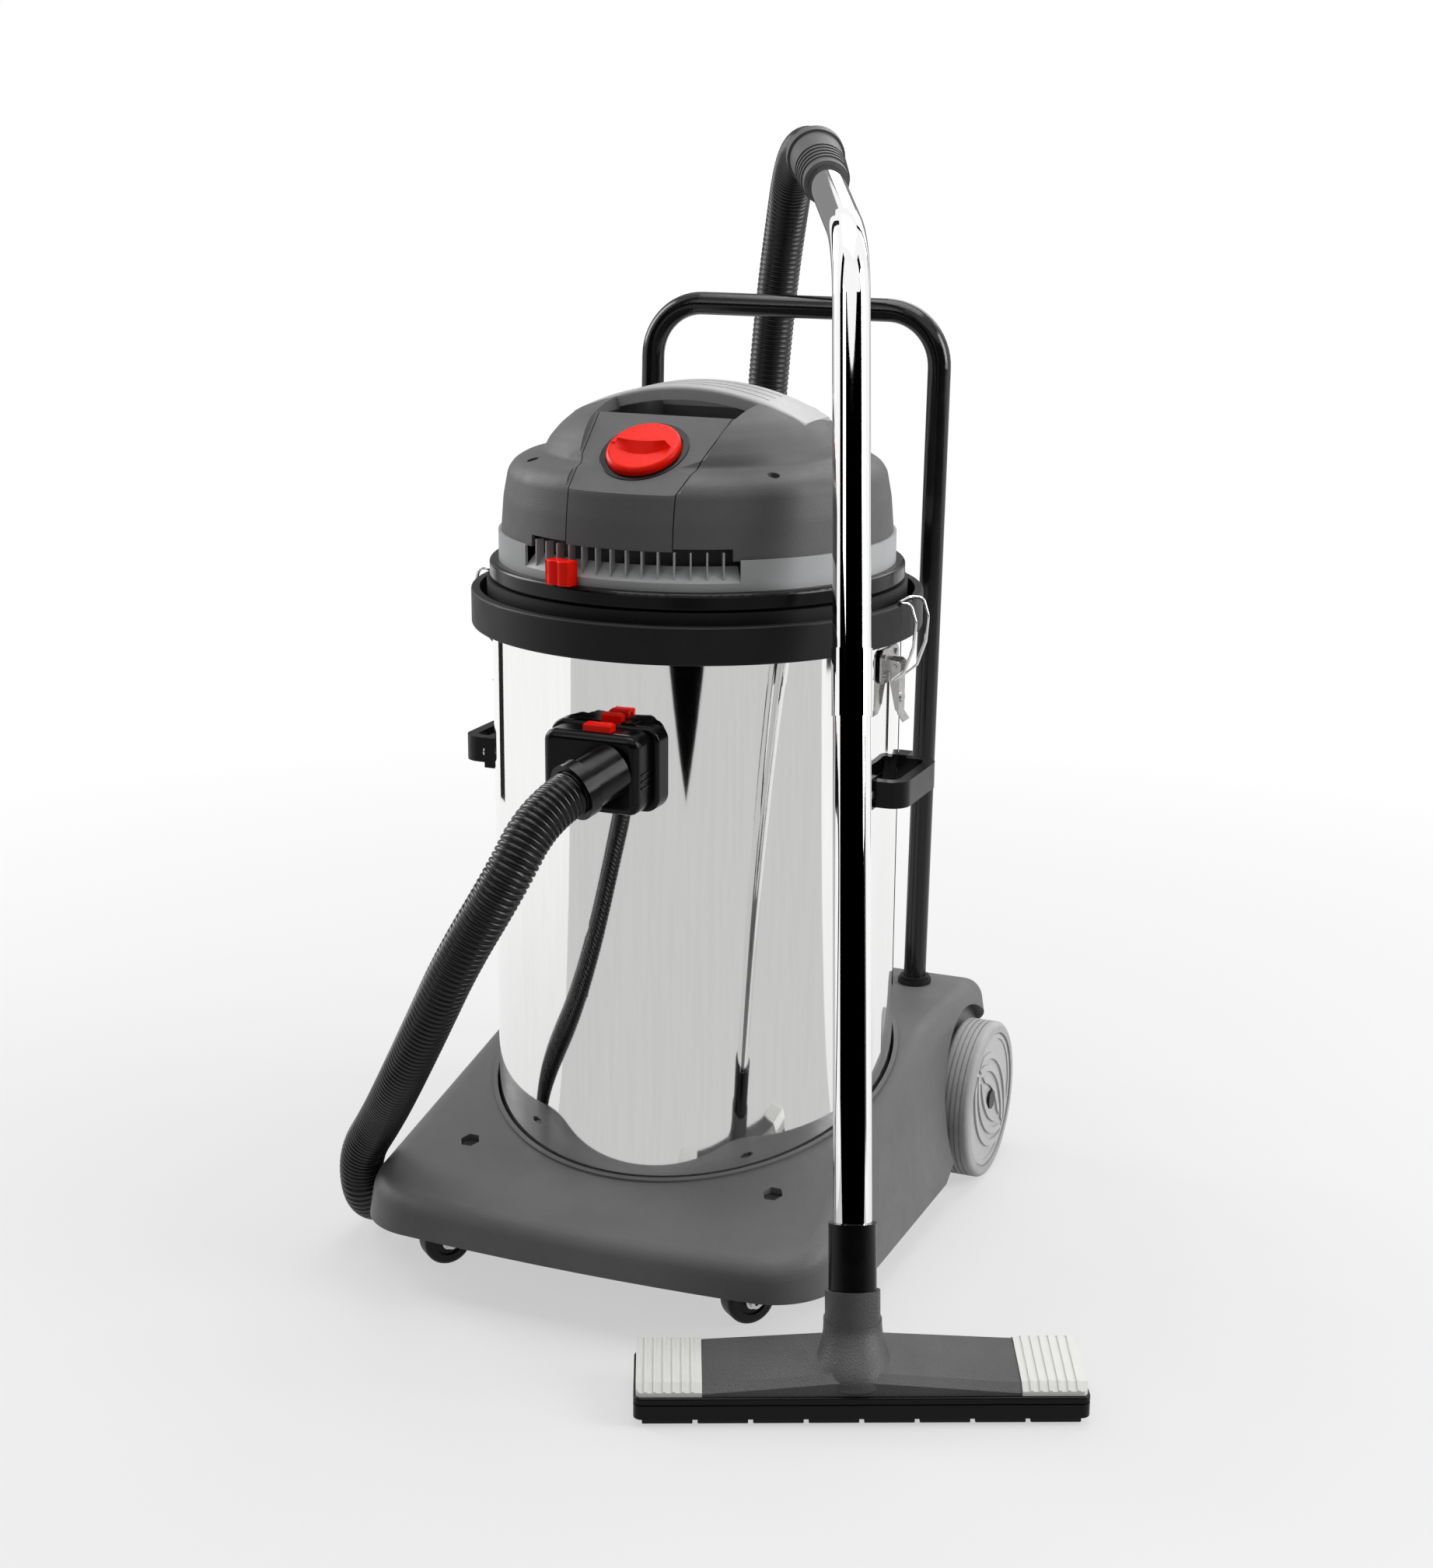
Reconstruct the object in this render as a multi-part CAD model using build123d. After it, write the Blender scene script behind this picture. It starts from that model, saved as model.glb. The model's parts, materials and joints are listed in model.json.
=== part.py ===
from build123d import *
import os
from math import atan2, cos, pi, radians, sin, sqrt, tan

# Wet and dry drum vacuum on a four-wheeled trolley, with its hose plugged in and its wand and floor
# nozzle parked against the drum. Millimetres. Z is up, the front faces -Y and the origin lies on the
# floor on the drum's axis.

# ---------------------------------------------------------------- driving dimensions
# Running and seating clearances
fit_gap = 0.3
run_gap = 0.4

# Drum
drum_radius = 220.0
drum_wall = 1.2
drum_bottom_z = 74.0
drum_height = 642.0
drum_corner = 14.0
lip_bead = 2.6
drum_bolt_circle = 150.0
drum_bolt_radius = 3.0

# Bumper collar round the drum's mouth
collar_reach = 22.0
collar_wall = 9.0
collar_floor = 5.0
collar_drop = 35.4
collar_rise = 3.2

# Head: lid base, vent ring and cover
seal_height = 12.0
rim_reach = 2.0
rim_height = 19.0
lid_plate = 6.0
spigot_gap = 6.8
spigot_depth = 26.0
spigot_wall = 5.0
vent_step = 10.0
vent_height = 31.0
vent_wall = 3.0
vent_window_low = 8.5
vent_window_from = 237.0
vent_window_to = 305.0
vent_scoop = 15.0
vent_fins = 15
fin_thickness = 1.6
cover_wall = 3.0
screw_inset = 20.5
screw_angle = 42.0
screw_post_radius = 8.5
screw_hole_radius = 6.4
screw_sink = 8.0
cover_step = 3.0
shoulder_inset = 8.0
cover_shoulder_height = 64.0
cover_ledge_height = 85.0
ledge_width = 38.0
cover_dome_height = 145.0
notch_height = 12.0
panel_lift = 9.0
trough_half_width = 62.0
trough_flare = 0.25
panel_half_width = 58.0
panel_gap = 1.2
panel_top_y = -85.0
panel_break_inset = 8.0
grip_floor_depth = 42.0

# Carry handle on top of the head
grip_front_y = -30.0
grip_back_y = 44.0
grip_end_inset = 31.0
grip_rise = 33.0
grip_thickness = 15.0
grip_over_dome = 9.0

# Power knob
knob_radius = 39.0
knob_height = 13.0
knob_bar_height = 9.0
knob_bezel_radius = 46.5
knob_above_middle = 2.0
knob_recess = 5.0
knob_shaft_radius = 4.0

# Red lock grip at the foot of the vent ring
lock_angle = 255.0
lock_height = 25.0
lock_half_width = 15.5
lock_lobe_radius = 9.0
lock_stem_radius = 3.4
lock_stem_rise = 15.0

# Grommet for a mains lead at the back of the vent ring
gland_radius = 9.0
gland_bore = 5.0

# Motors and fans
motor_spacing = 150.0
shroud_radius = 62.0
shroud_height = 36.0
motor_radius = 46.0
motor_height = 78.0
fan_radius = 55.0
fan_height = 22.0
fan_blades = 9
motor_shaft_radius = 4.0
deck_plate = 4.0
deck_lap = 8.0

# Filter and float
filter_top_radius = 150.0
filter_bottom_radius = 112.0
filter_depth = 205.0
filter_cloth = 3.0
cage_radius = 62.0
cage_depth = 130.0
cage_flange_radius = 107.0
cage_plenum = 16.0
float_radius = 34.0
float_height = 46.0
float_travel = 45.0

# Trolley chassis
chassis_side = 52.0
chassis_nose = 114.0
chassis_tail = 107.0
chassis_low_z = 35.0
chassis_nose_z = 60.0
chassis_draft = 8.6
chassis_wall = 4.0
chassis_bow = 14.0
nose_corner = 78.0
tail_corner = 45.0
deck_z = 214.0
deck_slope = 0.28
deck_flat = 224.0
deck_round = 24.0
well_gap = 2.6
well_lip = 5.0
well_lip_rise = 2.5

# Rear wheels
wheel_radius = 91.5
wheel_from_tail = 107.0
wheel_proud = 11.0
wheel_width = 40.0
hub_radius = 79.0
arch_gap = 16.0
arch_side_gap = 7.0
axle_radius = 8.0
axle_hold = 86.0

# Front casters
caster_from_side = 95.0
caster_from_nose = 102.0
caster_trail = 18.0
caster_turn = -40.0
caster_wheel_radius = 27.0
caster_wheel_width = 25.0
caster_crown_gap = 6.0
caster_pad_width = 78.0
caster_pad_depth = 72.0
caster_plate = 3.0
caster_race_radius = 15.0
caster_race = 5.5
fork_steel = 2.5
hex_recess_flats = 19.0
bolt_radius = 5.0

# Push handle
push_radius = 13.0
push_wall = 1.5
push_from_side = 96.0
push_from_tail = 81.0
push_rake = 32.0
push_bar_z = 993.0
push_bend = 62.0
push_socket_depth = 80.0

# Side handles and toggle latches on the drum
side_handle_z = 524.5
side_handle_reach = 39.0
side_handle_length = 118.0
side_handle_height = 28.0
side_handle_band = 12.0
rivet_radius = 2.4
latch_y = -6.0
latch_pivot_drop = 64.0
latch_pivot_out = 11.0
latch_plate_width = 54.0
latch_plate_height = 36.0
latch_steel = 2.0
lever_width = 19.0
lever_length = 58.0
bail_arm = 14.0
bail_half_width = 20.0
bail_wire = 1.75
bail_bow = 14.0

# Inlet fitting and hose connector
inlet_z = 573.0
inlet_bore = 20.0
fitting_width = 120.0
fitting_height = 88.0
fitting_stand = 16.0
crest_width = 68.0
crest_rise = 2.0
box_width = 105.0
box_height = 82.0
box_depth = 34.0
box_corner = 13.0
neck_radius = 27.0
neck_side = 3.0
neck_reach = 35.0
neck_drop = 8.0
neck_axis = (-0.38, -0.85, -0.29)
button_width = 30.0
button_depth = 13.0
button_height = 11.5
button_travel = 3.0

# Hose: outside and inside radius, and the route of its centre line from the connector to the wand
hose_radius = 24.0
hose_bore = 20.0
hose_route = [
    (2.8, -305.3, 564.9), (-16, -347.5, 550.5), (-34, -391, 488), (-84, -395, 405), (-131, -377, 322),
    (-189, -337, 235), (-247, -275, 166), (-292, -247, 108), (-298, -231, 49), (-300, -184, 25),
    (-307, -120, 25), (-320, -26, 25), (-334, 84, 25), (-337, 184, 27), (-322, 278, 25),
    (-284, 355, 30), (-229, 405, 62), (-176, 424, 122), (-138, 421, 204), (-112, 411, 306),
    (-98, 404, 430), (-95, 403, 570), (-90, 399, 710), (-82, 394, 840), (-68, 380, 946),
    (-52, 362, 1030), (-37, 344, 1088), (-20, 316, 1132), (3, 276, 1160), (28, 234, 1171),
    (50.8, 195.3, 1168.9), (68.1, 163, 1158.6),
]

# Wand and floor nozzle, in their own plane turned about the vertical
wand_turn = 24.0
wand_x = 148.0
wand_foot_y = -471.0
wand_lean = 0.30
wand_radius = 19.0
wand_wall = 1.2
wand_socket_wall = 1.2
wand_joint_z = 703.0
wand_socket_depth = 62.0
wand_apex_z = 1086.0
wand_bend = 95.0
cuff_x = 130.6
cuff_y = 92.0
cuff_z = 1150.8
cuff_length = 104.0
cuff_radius = 29.5
nozzle_x = 154.0
nozzle_width = 437.0
nozzle_front_y = -513.0
nozzle_depth = 100.0
nozzle_shoe_z = 7.0
nozzle_shoe_height = 22.0
nozzle_slot_depth = 44.0
nozzle_cap = 66.0
nozzle_back_z = 49.0
nozzle_middle_rise = 8.0
nozzle_neck_radius = 27.0
nozzle_neck_z = 106.0
sleeve_radius = 23.5
sleeve_top_z = 168.0
lip_blocks = 8

# ---------------------------------------------------------------- derived places
# Radii of the collar and the head, each from what it sits on
collar_radius = drum_radius + collar_reach
rim_radius = drum_radius + rim_reach
spigot_radius = drum_radius - drum_wall - spigot_gap
vent_radius = rim_radius - vent_step
cover_skirt_radius = vent_radius - cover_step
cover_shoulder_radius = cover_skirt_radius - shoulder_inset
cover_ledge_radius = cover_shoulder_radius - ledge_width
panel_break_y = panel_break_inset - cover_shoulder_radius
grip_half_span = cover_ledge_radius - grip_end_inset
screw_circle = cover_shoulder_radius - screw_inset

# Plan of the trolley, from the drum that it carries
chassis_half_width = drum_radius + chassis_side
chassis_front_y = -drum_radius - chassis_nose
chassis_rear_y = drum_radius + chassis_tail
deck_break_y = chassis_rear_y - deck_flat
wheel_y = chassis_rear_y - wheel_from_tail
wheel_outer_x = chassis_half_width + wheel_proud
caster_x = chassis_half_width - caster_from_side
caster_y = chassis_front_y + caster_from_nose
push_x = chassis_half_width - push_from_side
push_foot_y = chassis_rear_y - push_from_tail
push_bar_y = push_foot_y + push_rake
fitting_face_y = -drum_radius - fitting_stand

# Heights and centres
drum_top_z = drum_bottom_z + drum_height
collar_bottom_z = drum_top_z - collar_drop
collar_top_z = drum_top_z + collar_rise
rim_bottom_z = drum_top_z + lip_bead + seal_height - fit_gap
rim_top_z = rim_bottom_z + rim_height
vent_top_z = rim_top_z + vent_height
cover_bottom_z = vent_top_z - 1.0
cover_shoulder_z = cover_bottom_z + cover_shoulder_height
cover_ledge_z = cover_bottom_z + cover_ledge_height
dome_top_z = cover_bottom_z + cover_dome_height
grip_top_z = dome_top_z + grip_over_dome
grip_floor_z = dome_top_z - grip_floor_depth
panel_top_z = dome_top_z - 16.0
lid_plate_top_z = rim_bottom_z + lid_plate
screw_boss_z = lid_plate_top_z + 16.0
screw_floor_z = cover_shoulder_z - screw_sink
well_radius = drum_radius + well_gap
arch_radius = wheel_radius + arch_gap
arch_x = wheel_outer_x - wheel_width - arch_side_gap
axle_inner_x = arch_x - axle_hold
wheel_mid_x = wheel_outer_x - wheel_width / 2
fork_crown_z = 2 * caster_wheel_radius + caster_crown_gap
race_bottom_z = fork_crown_z + fork_steel
caster_plate_z = race_bottom_z + caster_race + fit_gap
caster_pad_z = caster_plate_z + caster_plate
caster_bolt_y = caster_y + caster_pad_depth / 2 - 11.0
push_lean = (push_bar_y - push_foot_y) / (push_bar_z - deck_z)
latch_pivot_x = drum_radius + latch_pivot_out
latch_pivot_z = drum_top_z - latch_pivot_drop
bail_foot_z = latch_pivot_z - bail_arm
box_face_y = fitting_face_y - box_depth
neck_tip = (neck_side, box_face_y - neck_reach, inlet_z - neck_drop)
panel_angle = atan2(panel_top_z - cover_shoulder_z, panel_top_y - panel_break_y)
gland_z = rim_top_z + vent_height / 2
float_low_z = rim_bottom_z - cage_depth + 4
lock_low_z = rim_top_z + fit_gap
lock_centre = vent_radius + lock_lobe_radius + fit_gap
sides = {"left": -1, "right": 1}


# ---------------------------------------------------------------- helpers
def ring(outer, inner, low_z, high_z):
    """A plain tube about the drum's axis."""
    middle = (low_z + high_z) / 2
    height = high_z - low_z
    return Pos(0, 0, middle) * (Cylinder(outer, height) - Cylinder(inner, height + 2))


def disc(radius, low_z, high_z, x=0.0, y=0.0):
    """A solid vertical cylinder between two heights."""
    return Pos(x, y, (low_z + high_z) / 2) * Cylinder(radius, high_z - low_z)


def rod_x(radius, x_from, x_to, y, z):
    """A solid cylinder lying along X."""
    return Pos((x_from + x_to) / 2, y, z) * Rot(0, 90, 0) * Cylinder(radius, abs(x_to - x_from))


def rod_y(radius, y_from, y_to, x, z):
    """A solid cylinder lying along Y."""
    return Pos(x, (y_from + y_to) / 2, z) * Rot(90, 0, 0) * Cylinder(radius, abs(y_to - y_from))


def block(x_from, x_to, y_from, y_to, z_from, z_to):
    """A box given by its corners."""
    centre = Pos((x_from + x_to) / 2, (y_from + y_to) / 2, (z_from + z_to) / 2)
    return centre * Box(abs(x_to - x_from), abs(y_to - y_from), abs(z_to - z_from))


def slab_yz(points, x_from, x_to, rounds=None):
    """A closed outline of (y, z) points, given a thickness along X."""
    face = make_face(Polyline([(0, y, z) for y, z in points], close=True))
    if rounds:
        for (y, z), radius in rounds:
            corner = face.vertices().sort_by_distance((0, y, z))[0]
            face = fillet(corner, radius)
    return Pos(x_from, 0, 0) * extrude(face, amount=x_to - x_from, dir=(1, 0, 0))


def slab_xz(points, y_from, y_to):
    """A closed outline of (x, z) points, given a thickness along Y."""
    face = make_face(Polyline([(x, 0, z) for x, z in points], close=True))
    return Pos(0, y_from, 0) * extrude(face, amount=y_to - y_from, dir=(0, 1, 0))


def turned(points, rounds=()):
    """A solid of revolution about Z from (radius, z) points, some of them with a rounding radius."""
    face = make_face(Polyline([(r, 0, z) for r, z in points], close=True))
    for (r, z), radius in rounds:
        face = fillet(face.vertices().sort_by_distance((r, 0, z))[0], radius)
    return revolve(face, Axis.Z, 360)


def pipe(path, outer, inner=None):
    """A round rod or tube along a path."""
    start = Plane(origin=path @ 0, z_dir=path % 0)
    body = sweep(start * Circle(outer), path=path, is_frenet=False)
    if inner:
        body = body - sweep(start * Circle(inner), path=path, is_frenet=False)
    return body


def save(node, shape):
    """Write one node, which may hold several separate solids."""
    solids = shape if isinstance(shape, list) else [shape]
    solids = [solid for piece in solids for solid in piece.solids()]
    whole = solids[0] if len(solids) == 1 else Compound(children=solids)
    whole.label = node
    export_step(whole, f"parts/{node}.step")


# ---------------------------------------------------------------- trolley chassis
def deck_top(y, rise=0.0):
    """Height of the deck at a distance y: a ramp that meets the flat rear part."""
    return min(deck_z, deck_z + deck_slope * (y - deck_break_y)) + rise


def side_form(inset, rise=0.0, floor=True):
    """The chassis seen from the side, as wide as needed: ramped deck over a stepped lower edge."""
    front = chassis_front_y - 40
    rear = chassis_rear_y + 40
    top = rise - inset
    low = (chassis_low_z, chassis_nose_z) if floor else (-20.0, -20.0)
    points = [
        (front, low[1]), (caster_y + 17, low[1]), (caster_y + 82, low[0]),
        (wheel_y - 130, low[0]), (wheel_y - 70, low[1]), (rear, low[1]),
        (rear, deck_z + top), (deck_break_y, deck_z + top), (front, deck_top(front, top)),
    ]
    half = chassis_half_width + 30
    return slab_yz(points, -half, half, [((deck_break_y, deck_z + top), 160.0)])


def plan_outline(inset, z):
    """The chassis's outline at one height, seen from above: bowed front, round corners, drafted sides."""
    spread = (chassis_low_z - z) * tan(radians(chassis_draft)) - inset
    half = chassis_half_width + spread
    front = chassis_front_y - spread
    rear = chassis_rear_y + spread
    corner_y = front + chassis_bow
    sides_and_back = Polyline((-half, corner_y), (-half, rear), (half, rear), (half, corner_y))
    bow = ThreePointArc((half, corner_y), (0, front), (-half, corner_y))
    face = make_face([*sides_and_back.edges(), bow])
    face = fillet(face.vertices().group_by(Axis.Y)[0], nose_corner + spread)
    face = fillet(face.vertices().group_by(Axis.Y)[-1], tail_corner + spread)
    return Pos(0, 0, z) * face


def plan_form(inset, low_z):
    """The drafted block under the deck, higher than the deck itself."""
    return loft([plan_outline(inset, low_z), plan_outline(inset, deck_z + 40)], ruled=True)


def chassis_form(inset):
    """The chassis as one soft-edged block. A positive inset gives the hollow inside it."""
    low_z = chassis_low_z if inset == 0 else -20.0
    form = plan_form(inset, low_z) & side_form(inset, floor=inset == 0)
    top_faces = [face for face in form.faces() if face.normal_at().Z > 0.9]
    edges = [edge for face in top_faces for edge in face.edges()]
    rim = [edge for edge in edges if sum(edge.is_same(other) for other in edges) == 1]
    return fillet(rim, deck_round - inset)


def mirrored(make):
    """The same feature on the left and on the right."""
    return [make(side) for side in sides.values()]


def build_chassis():
    outer = chassis_form(0)
    inner = chassis_form(chassis_wall)
    for side in sides.values():
        far_x = side * (chassis_half_width + 40)
        near_x = side * (arch_x - chassis_wall)
        outer -= rod_x(arch_radius, side * arch_x, far_x, wheel_y, wheel_radius)
        inner -= rod_x(arch_radius + chassis_wall, near_x, far_x, wheel_y, wheel_radius)
    cup_floor_z = drum_bottom_z - fit_gap
    inner -= disc(well_radius + chassis_wall, cup_floor_z - chassis_wall, deck_z + 80)
    shell = outer - inner - disc(well_radius, cup_floor_z, deck_z + 80)
    lip = ring(well_radius + well_lip, well_radius, drum_bottom_z, deck_z + 60)
    shell += lip & (side_form(0, rise=well_lip_rise) - side_form(2.0))
    # Solid pads over the casters, sockets for the push handle, axle bosses and stiffening ribs
    for side in sides.values():
        pad = block(
            side * (caster_x - caster_pad_width / 2), side * (caster_x + caster_pad_width / 2),
            caster_y - caster_pad_depth / 2, caster_y + caster_pad_depth / 2, caster_pad_z, deck_z,
        )
        shell += pad & inner
        socket_z = deck_z - push_socket_depth
        shell += disc(push_radius + 7, socket_z - 6, deck_z, side * push_x, push_foot_y - 2) & inner
        shell += rod_x(axle_radius + 8, side * axle_inner_x, side * arch_x, wheel_y, wheel_radius) & inner
        web_x = side * axle_inner_x
        shell += block(web_x, web_x + side * 5, wheel_y - 40, chassis_rear_y, 60, deck_z) & inner
        rib_x = side * chassis_half_width
        shell += block(side * well_radius, rib_x, -3, 3, chassis_low_z + 12, deck_z) & inner
    shell += block(-3, 3, chassis_front_y, -well_radius, chassis_nose_z + 6, deck_z) & inner
    for side in sides.values():
        hex_hole = RegularPolygon(hex_recess_flats / 2, 6, major_radius=False)
        pocket_z = deck_top(caster_bolt_y) - 10.0
        shell -= Pos(side * caster_x, caster_bolt_y, pocket_z) * extrude(hex_hole, amount=40)
        shell -= disc(bolt_radius + fit_gap, caster_pad_z - 1, deck_z, side * caster_x, caster_bolt_y)
        shell -= rod_x(axle_radius + 0.1, side * axle_inner_x, side * (arch_x + 1), wheel_y, wheel_radius)
        shell -= push_line(side, push_radius + 0.2, deck_z + 30)
    for x, y in drum_bolt_places():
        shell -= disc(drum_bolt_radius + fit_gap, drum_bottom_z - 10, drum_bottom_z + 5, x, y)
    return shell


def push_line(side, radius, top_z):
    """A straight rod on the centre line of one upright of the push handle, from its socket up."""
    foot_z = deck_z - push_socket_depth
    foot = Vector(side * push_x, push_foot_y + push_lean * (foot_z - deck_z), foot_z)
    top = Vector(side * push_x, push_foot_y + push_lean * (top_z - deck_z), top_z)
    return pipe(Line(foot, top), radius)


def build_push_handle():
    foot_z = deck_z - push_socket_depth + fit_gap
    foot_y = push_foot_y + push_lean * (foot_z - deck_z)
    corners = [
        (-push_x, foot_y, foot_z), (-push_x, push_bar_y, push_bar_z),
        (push_x, push_bar_y, push_bar_z), (push_x, foot_y, foot_z),
    ]
    return pipe(FilletPolyline(corners, radius=push_bend), push_radius, push_radius - push_wall)


def build_grommets():
    def grommet(side):
        collar = disc(push_radius + 6.5, deck_z, deck_z + 5, side * push_x, push_foot_y)
        collar += disc(push_radius + 4, deck_z + 5, deck_z + 9, side * push_x, push_foot_y)
        return collar - push_line(side, push_radius + 0.1, deck_z + 30)
    return mirrored(grommet)


# ---------------------------------------------------------------- rear wheels
def build_axle(side):
    end_x = wheel_outer_x - 4
    return rod_x(axle_radius, side * (axle_inner_x + 1), side * end_x, wheel_y, wheel_radius)


def build_tyre(side):
    tyre = rod_x(wheel_radius, -wheel_width / 2, wheel_width / 2, 0, 0)
    tyre = fillet(tyre.edges(), 6.0)
    tyre -= rod_x(hub_radius, -wheel_width, wheel_width, 0, 0)
    for offset in (-9.0, -3.0, 3.0, 9.0):
        groove = rod_x(wheel_radius + 5, offset - 1, offset + 1, 0, 0)
        tyre -= groove - rod_x(wheel_radius - 1.6, offset - 2, offset + 2, 0, 0)
    return Pos(side * wheel_mid_x, wheel_y, wheel_radius) * tyre


def build_hub(side):
    """A dished disc with curved ribs on its outer face, a rim under the tyre and a bored boss."""
    half = wheel_width / 2
    face_x = half - 3.0
    hub = rod_x(hub_radius - 0.15, -half + 3, face_x, 0, 0)
    hub -= rod_x(hub_radius - 6, -half - 1, face_x - 5, 0, 0)
    hub += rod_x(axle_radius + 9, -half - 2, face_x, 0, 0)
    hub += rod_x(hub_radius - 2, face_x - 1, face_x + 1.4, 0, 0) - rod_x(hub_radius - 7, 0, half + 2, 0, 0)
    for turn in (0, 180):
        for offset in (20.0, 36.0, 52.0):
            bow = rod_x(93, face_x - 1, face_x + 2.4, offset - 94, 0)
            bow -= rod_x(86, 0, half + 3, offset - 94, 0)
            arc = bow & block(0, half + 2, 4, 90, -90, 90) & rod_x(hub_radius - 8, 0, half + 2, 0, 0)
            hub += Rot(turn + 45, 0, 0) * arc
    hub -= rod_x(axle_radius + 0.08, -half - 5, half + 5, 0, 0)
    flip = Rot(0, 0, 180) if side < 0 else Rot(0, 0, 0)
    return Pos(side * wheel_mid_x, wheel_y, wheel_radius) * flip * hub


def build_axle_nut(side):
    """A push-on cap over the end of the stub axle, sunk in the hub's centre."""
    inner_x = wheel_outer_x - 3.0 + fit_gap + 0.4
    cap = rod_x(axle_radius + 3, side * inner_x, side * (inner_x + 3.2), wheel_y, wheel_radius)
    return cap - rod_x(axle_radius, side * (inner_x - 2), side * (wheel_outer_x - 4), wheel_y, wheel_radius)


# ---------------------------------------------------------------- front casters
def build_caster_plate(side):
    plate = block(-33, 33, -caster_pad_depth / 2 + 2, caster_pad_depth / 2 - 2, 0, caster_plate)
    plate = fillet(plate.edges().filter_by(Axis.Z), 8.0)
    plate -= Pos(0, caster_bolt_y - caster_y, 0) * Cylinder(bolt_radius + fit_gap, 20)
    kingpin = disc(5, -caster_race - fork_steel - 4, 1)
    head = disc(8.5, -caster_race - fork_steel - 6, -caster_race - fork_steel - 2 * fit_gap)
    return Pos(side * caster_x, caster_y, caster_plate_z) * (plate + kingpin + head)


def build_caster_bolt(side):
    head_z = deck_top(caster_bolt_y) - 10.0
    hexagon = extrude(RegularPolygon((hex_recess_flats - 2) / 2, 6, major_radius=False), amount=7)
    bolt = Pos(0, 0, head_z) * fillet(hexagon.edges().group_by(Axis.Z)[-1], 0.8)
    bolt += disc(bolt_radius, caster_plate_z - 4, head_z + 1)
    nut = extrude(RegularPolygon(8.0, 6, major_radius=False), amount=4)
    bolt += Pos(0, 0, caster_plate_z - 4) * nut
    return Pos(side * caster_x, caster_bolt_y, 0) * bolt


def swung(side, shape):
    """Carry a piece of a caster, drawn about its swivel axis and trailing to the front, to its place."""
    return Pos(side * caster_x, caster_y, 0) * Rot(0, 0, caster_turn) * shape


def build_fork(side):
    """The swivelling steel fork: a race, a crown and two cheeks down to the wheel bolt."""
    inside = caster_wheel_width / 2 + 1.5
    race = disc(caster_race_radius, fork_crown_z, race_bottom_z + caster_race)
    race = fillet(race.edges().group_by(Axis.Z)[-1], 2.0)
    crown = block(-inside - fork_steel, inside + fork_steel, -30, 16, fork_crown_z, race_bottom_z)
    outline = [(18, race_bottom_z), (-32, race_bottom_z), (-caster_trail - 11, caster_wheel_radius + 6)]
    outline += [(-caster_trail - 8, 20), (-caster_trail + 8, 20)]
    outline += [(-caster_trail + 13, caster_wheel_radius + 3)]
    fork = race + crown
    for near in (-inside - fork_steel, inside):
        cheek = slab_yz(outline, near, near + fork_steel)
        fork += fillet(cheek.edges().filter_by(Axis.X).group_by(Axis.Z)[0], 7.0)
    fork -= disc(8.5 + run_gap, 0, race_bottom_z - 0.0001)
    fork -= disc(5 + 0.1, 0, race_bottom_z + 20)
    fork += ring(caster_race_radius - 3, 5.1, fork_crown_z + 0.9, race_bottom_z)
    fork -= rod_x(3.1, -40, 40, -caster_trail, caster_wheel_radius)
    return swung(side, fork)


def build_caster_wheel(side):
    half = caster_wheel_width / 2
    tyre = fillet(rod_x(caster_wheel_radius, -half, half, 0, 0).edges(), 5.0)
    tyre -= rod_x(16, half - 2.5, half + 2, 0, 0) + rod_x(16, -half - 2, -half + 2.5, 0, 0)
    tyre += rod_x(7, -half - 1, half + 1, 0, 0)
    tyre -= rod_x(3.1, -half - 5, half + 5, 0, 0)
    return swung(side, Pos(0, -caster_trail, caster_wheel_radius) * tyre)


def build_wheel_bolt(side):
    reach = caster_wheel_width / 2 + 1.5 + fork_steel
    bolt = rod_x(3, -reach - 1, reach + 1, 0, 0)
    bolt += rod_x(6, reach + 0.1, reach + 4, 0, 0)
    bolt += rod_x(6, -reach - 4, -reach - 0.1, 0, 0)
    bolt -= rod_x(2.4, reach + 2, reach + 5, 0, 0) + rod_x(2.4, -reach - 5, -reach - 2, 0, 0)
    return swung(side, Pos(0, -caster_trail, caster_wheel_radius) * bolt)


# ---------------------------------------------------------------- drum, collar and what they carry
def build_drum():
    drum = disc(drum_radius, drum_bottom_z, drum_top_z)
    drum = fillet(drum.edges().group_by(Axis.Z)[0], drum_corner)
    core = disc(drum_radius - drum_wall, drum_bottom_z + drum_wall, drum_top_z + 5)
    core = fillet(core.edges().group_by(Axis.Z)[0], drum_corner - drum_wall)
    drum -= core
    drum += Pos(0, 0, drum_top_z) * Torus(drum_radius - drum_wall / 2, lip_bead)
    drum -= rod_y(inlet_bore + 4 + fit_gap, -drum_radius - 10, -drum_radius + 20, 0, inlet_z)
    for x, y in drum_bolt_places():
        drum -= disc(drum_bolt_radius + 0.1, drum_bottom_z - 5, drum_bottom_z + 5, x, y)
    for y in rivet_places():
        drum -= rod_x(rivet_radius + 0.1, -drum_radius - 10, drum_radius + 10, y, side_handle_z)
    return drum


def build_collar():
    collar = ring(collar_radius, drum_radius + fit_gap, collar_bottom_z, collar_top_z)
    channel_z = collar_bottom_z + collar_floor
    collar -= ring(collar_radius - collar_wall, drum_radius - 5, channel_z, collar_top_z + 5)
    return fillet(collar.edges().group_by(SortBy.LENGTH)[-1], 2.5)


def build_seal():
    """A soft ring that sits over the drum's rolled lip, under the lid."""
    low_z = drum_top_z - 6
    high_z = rim_bottom_z - fit_gap
    seal = ring(drum_radius + 5, spigot_radius + 1, low_z, high_z)
    bead = lip_bead + fit_gap
    return seal - ring(drum_radius + bead, drum_radius - drum_wall - bead, low_z - 5, drum_top_z + bead)


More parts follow.
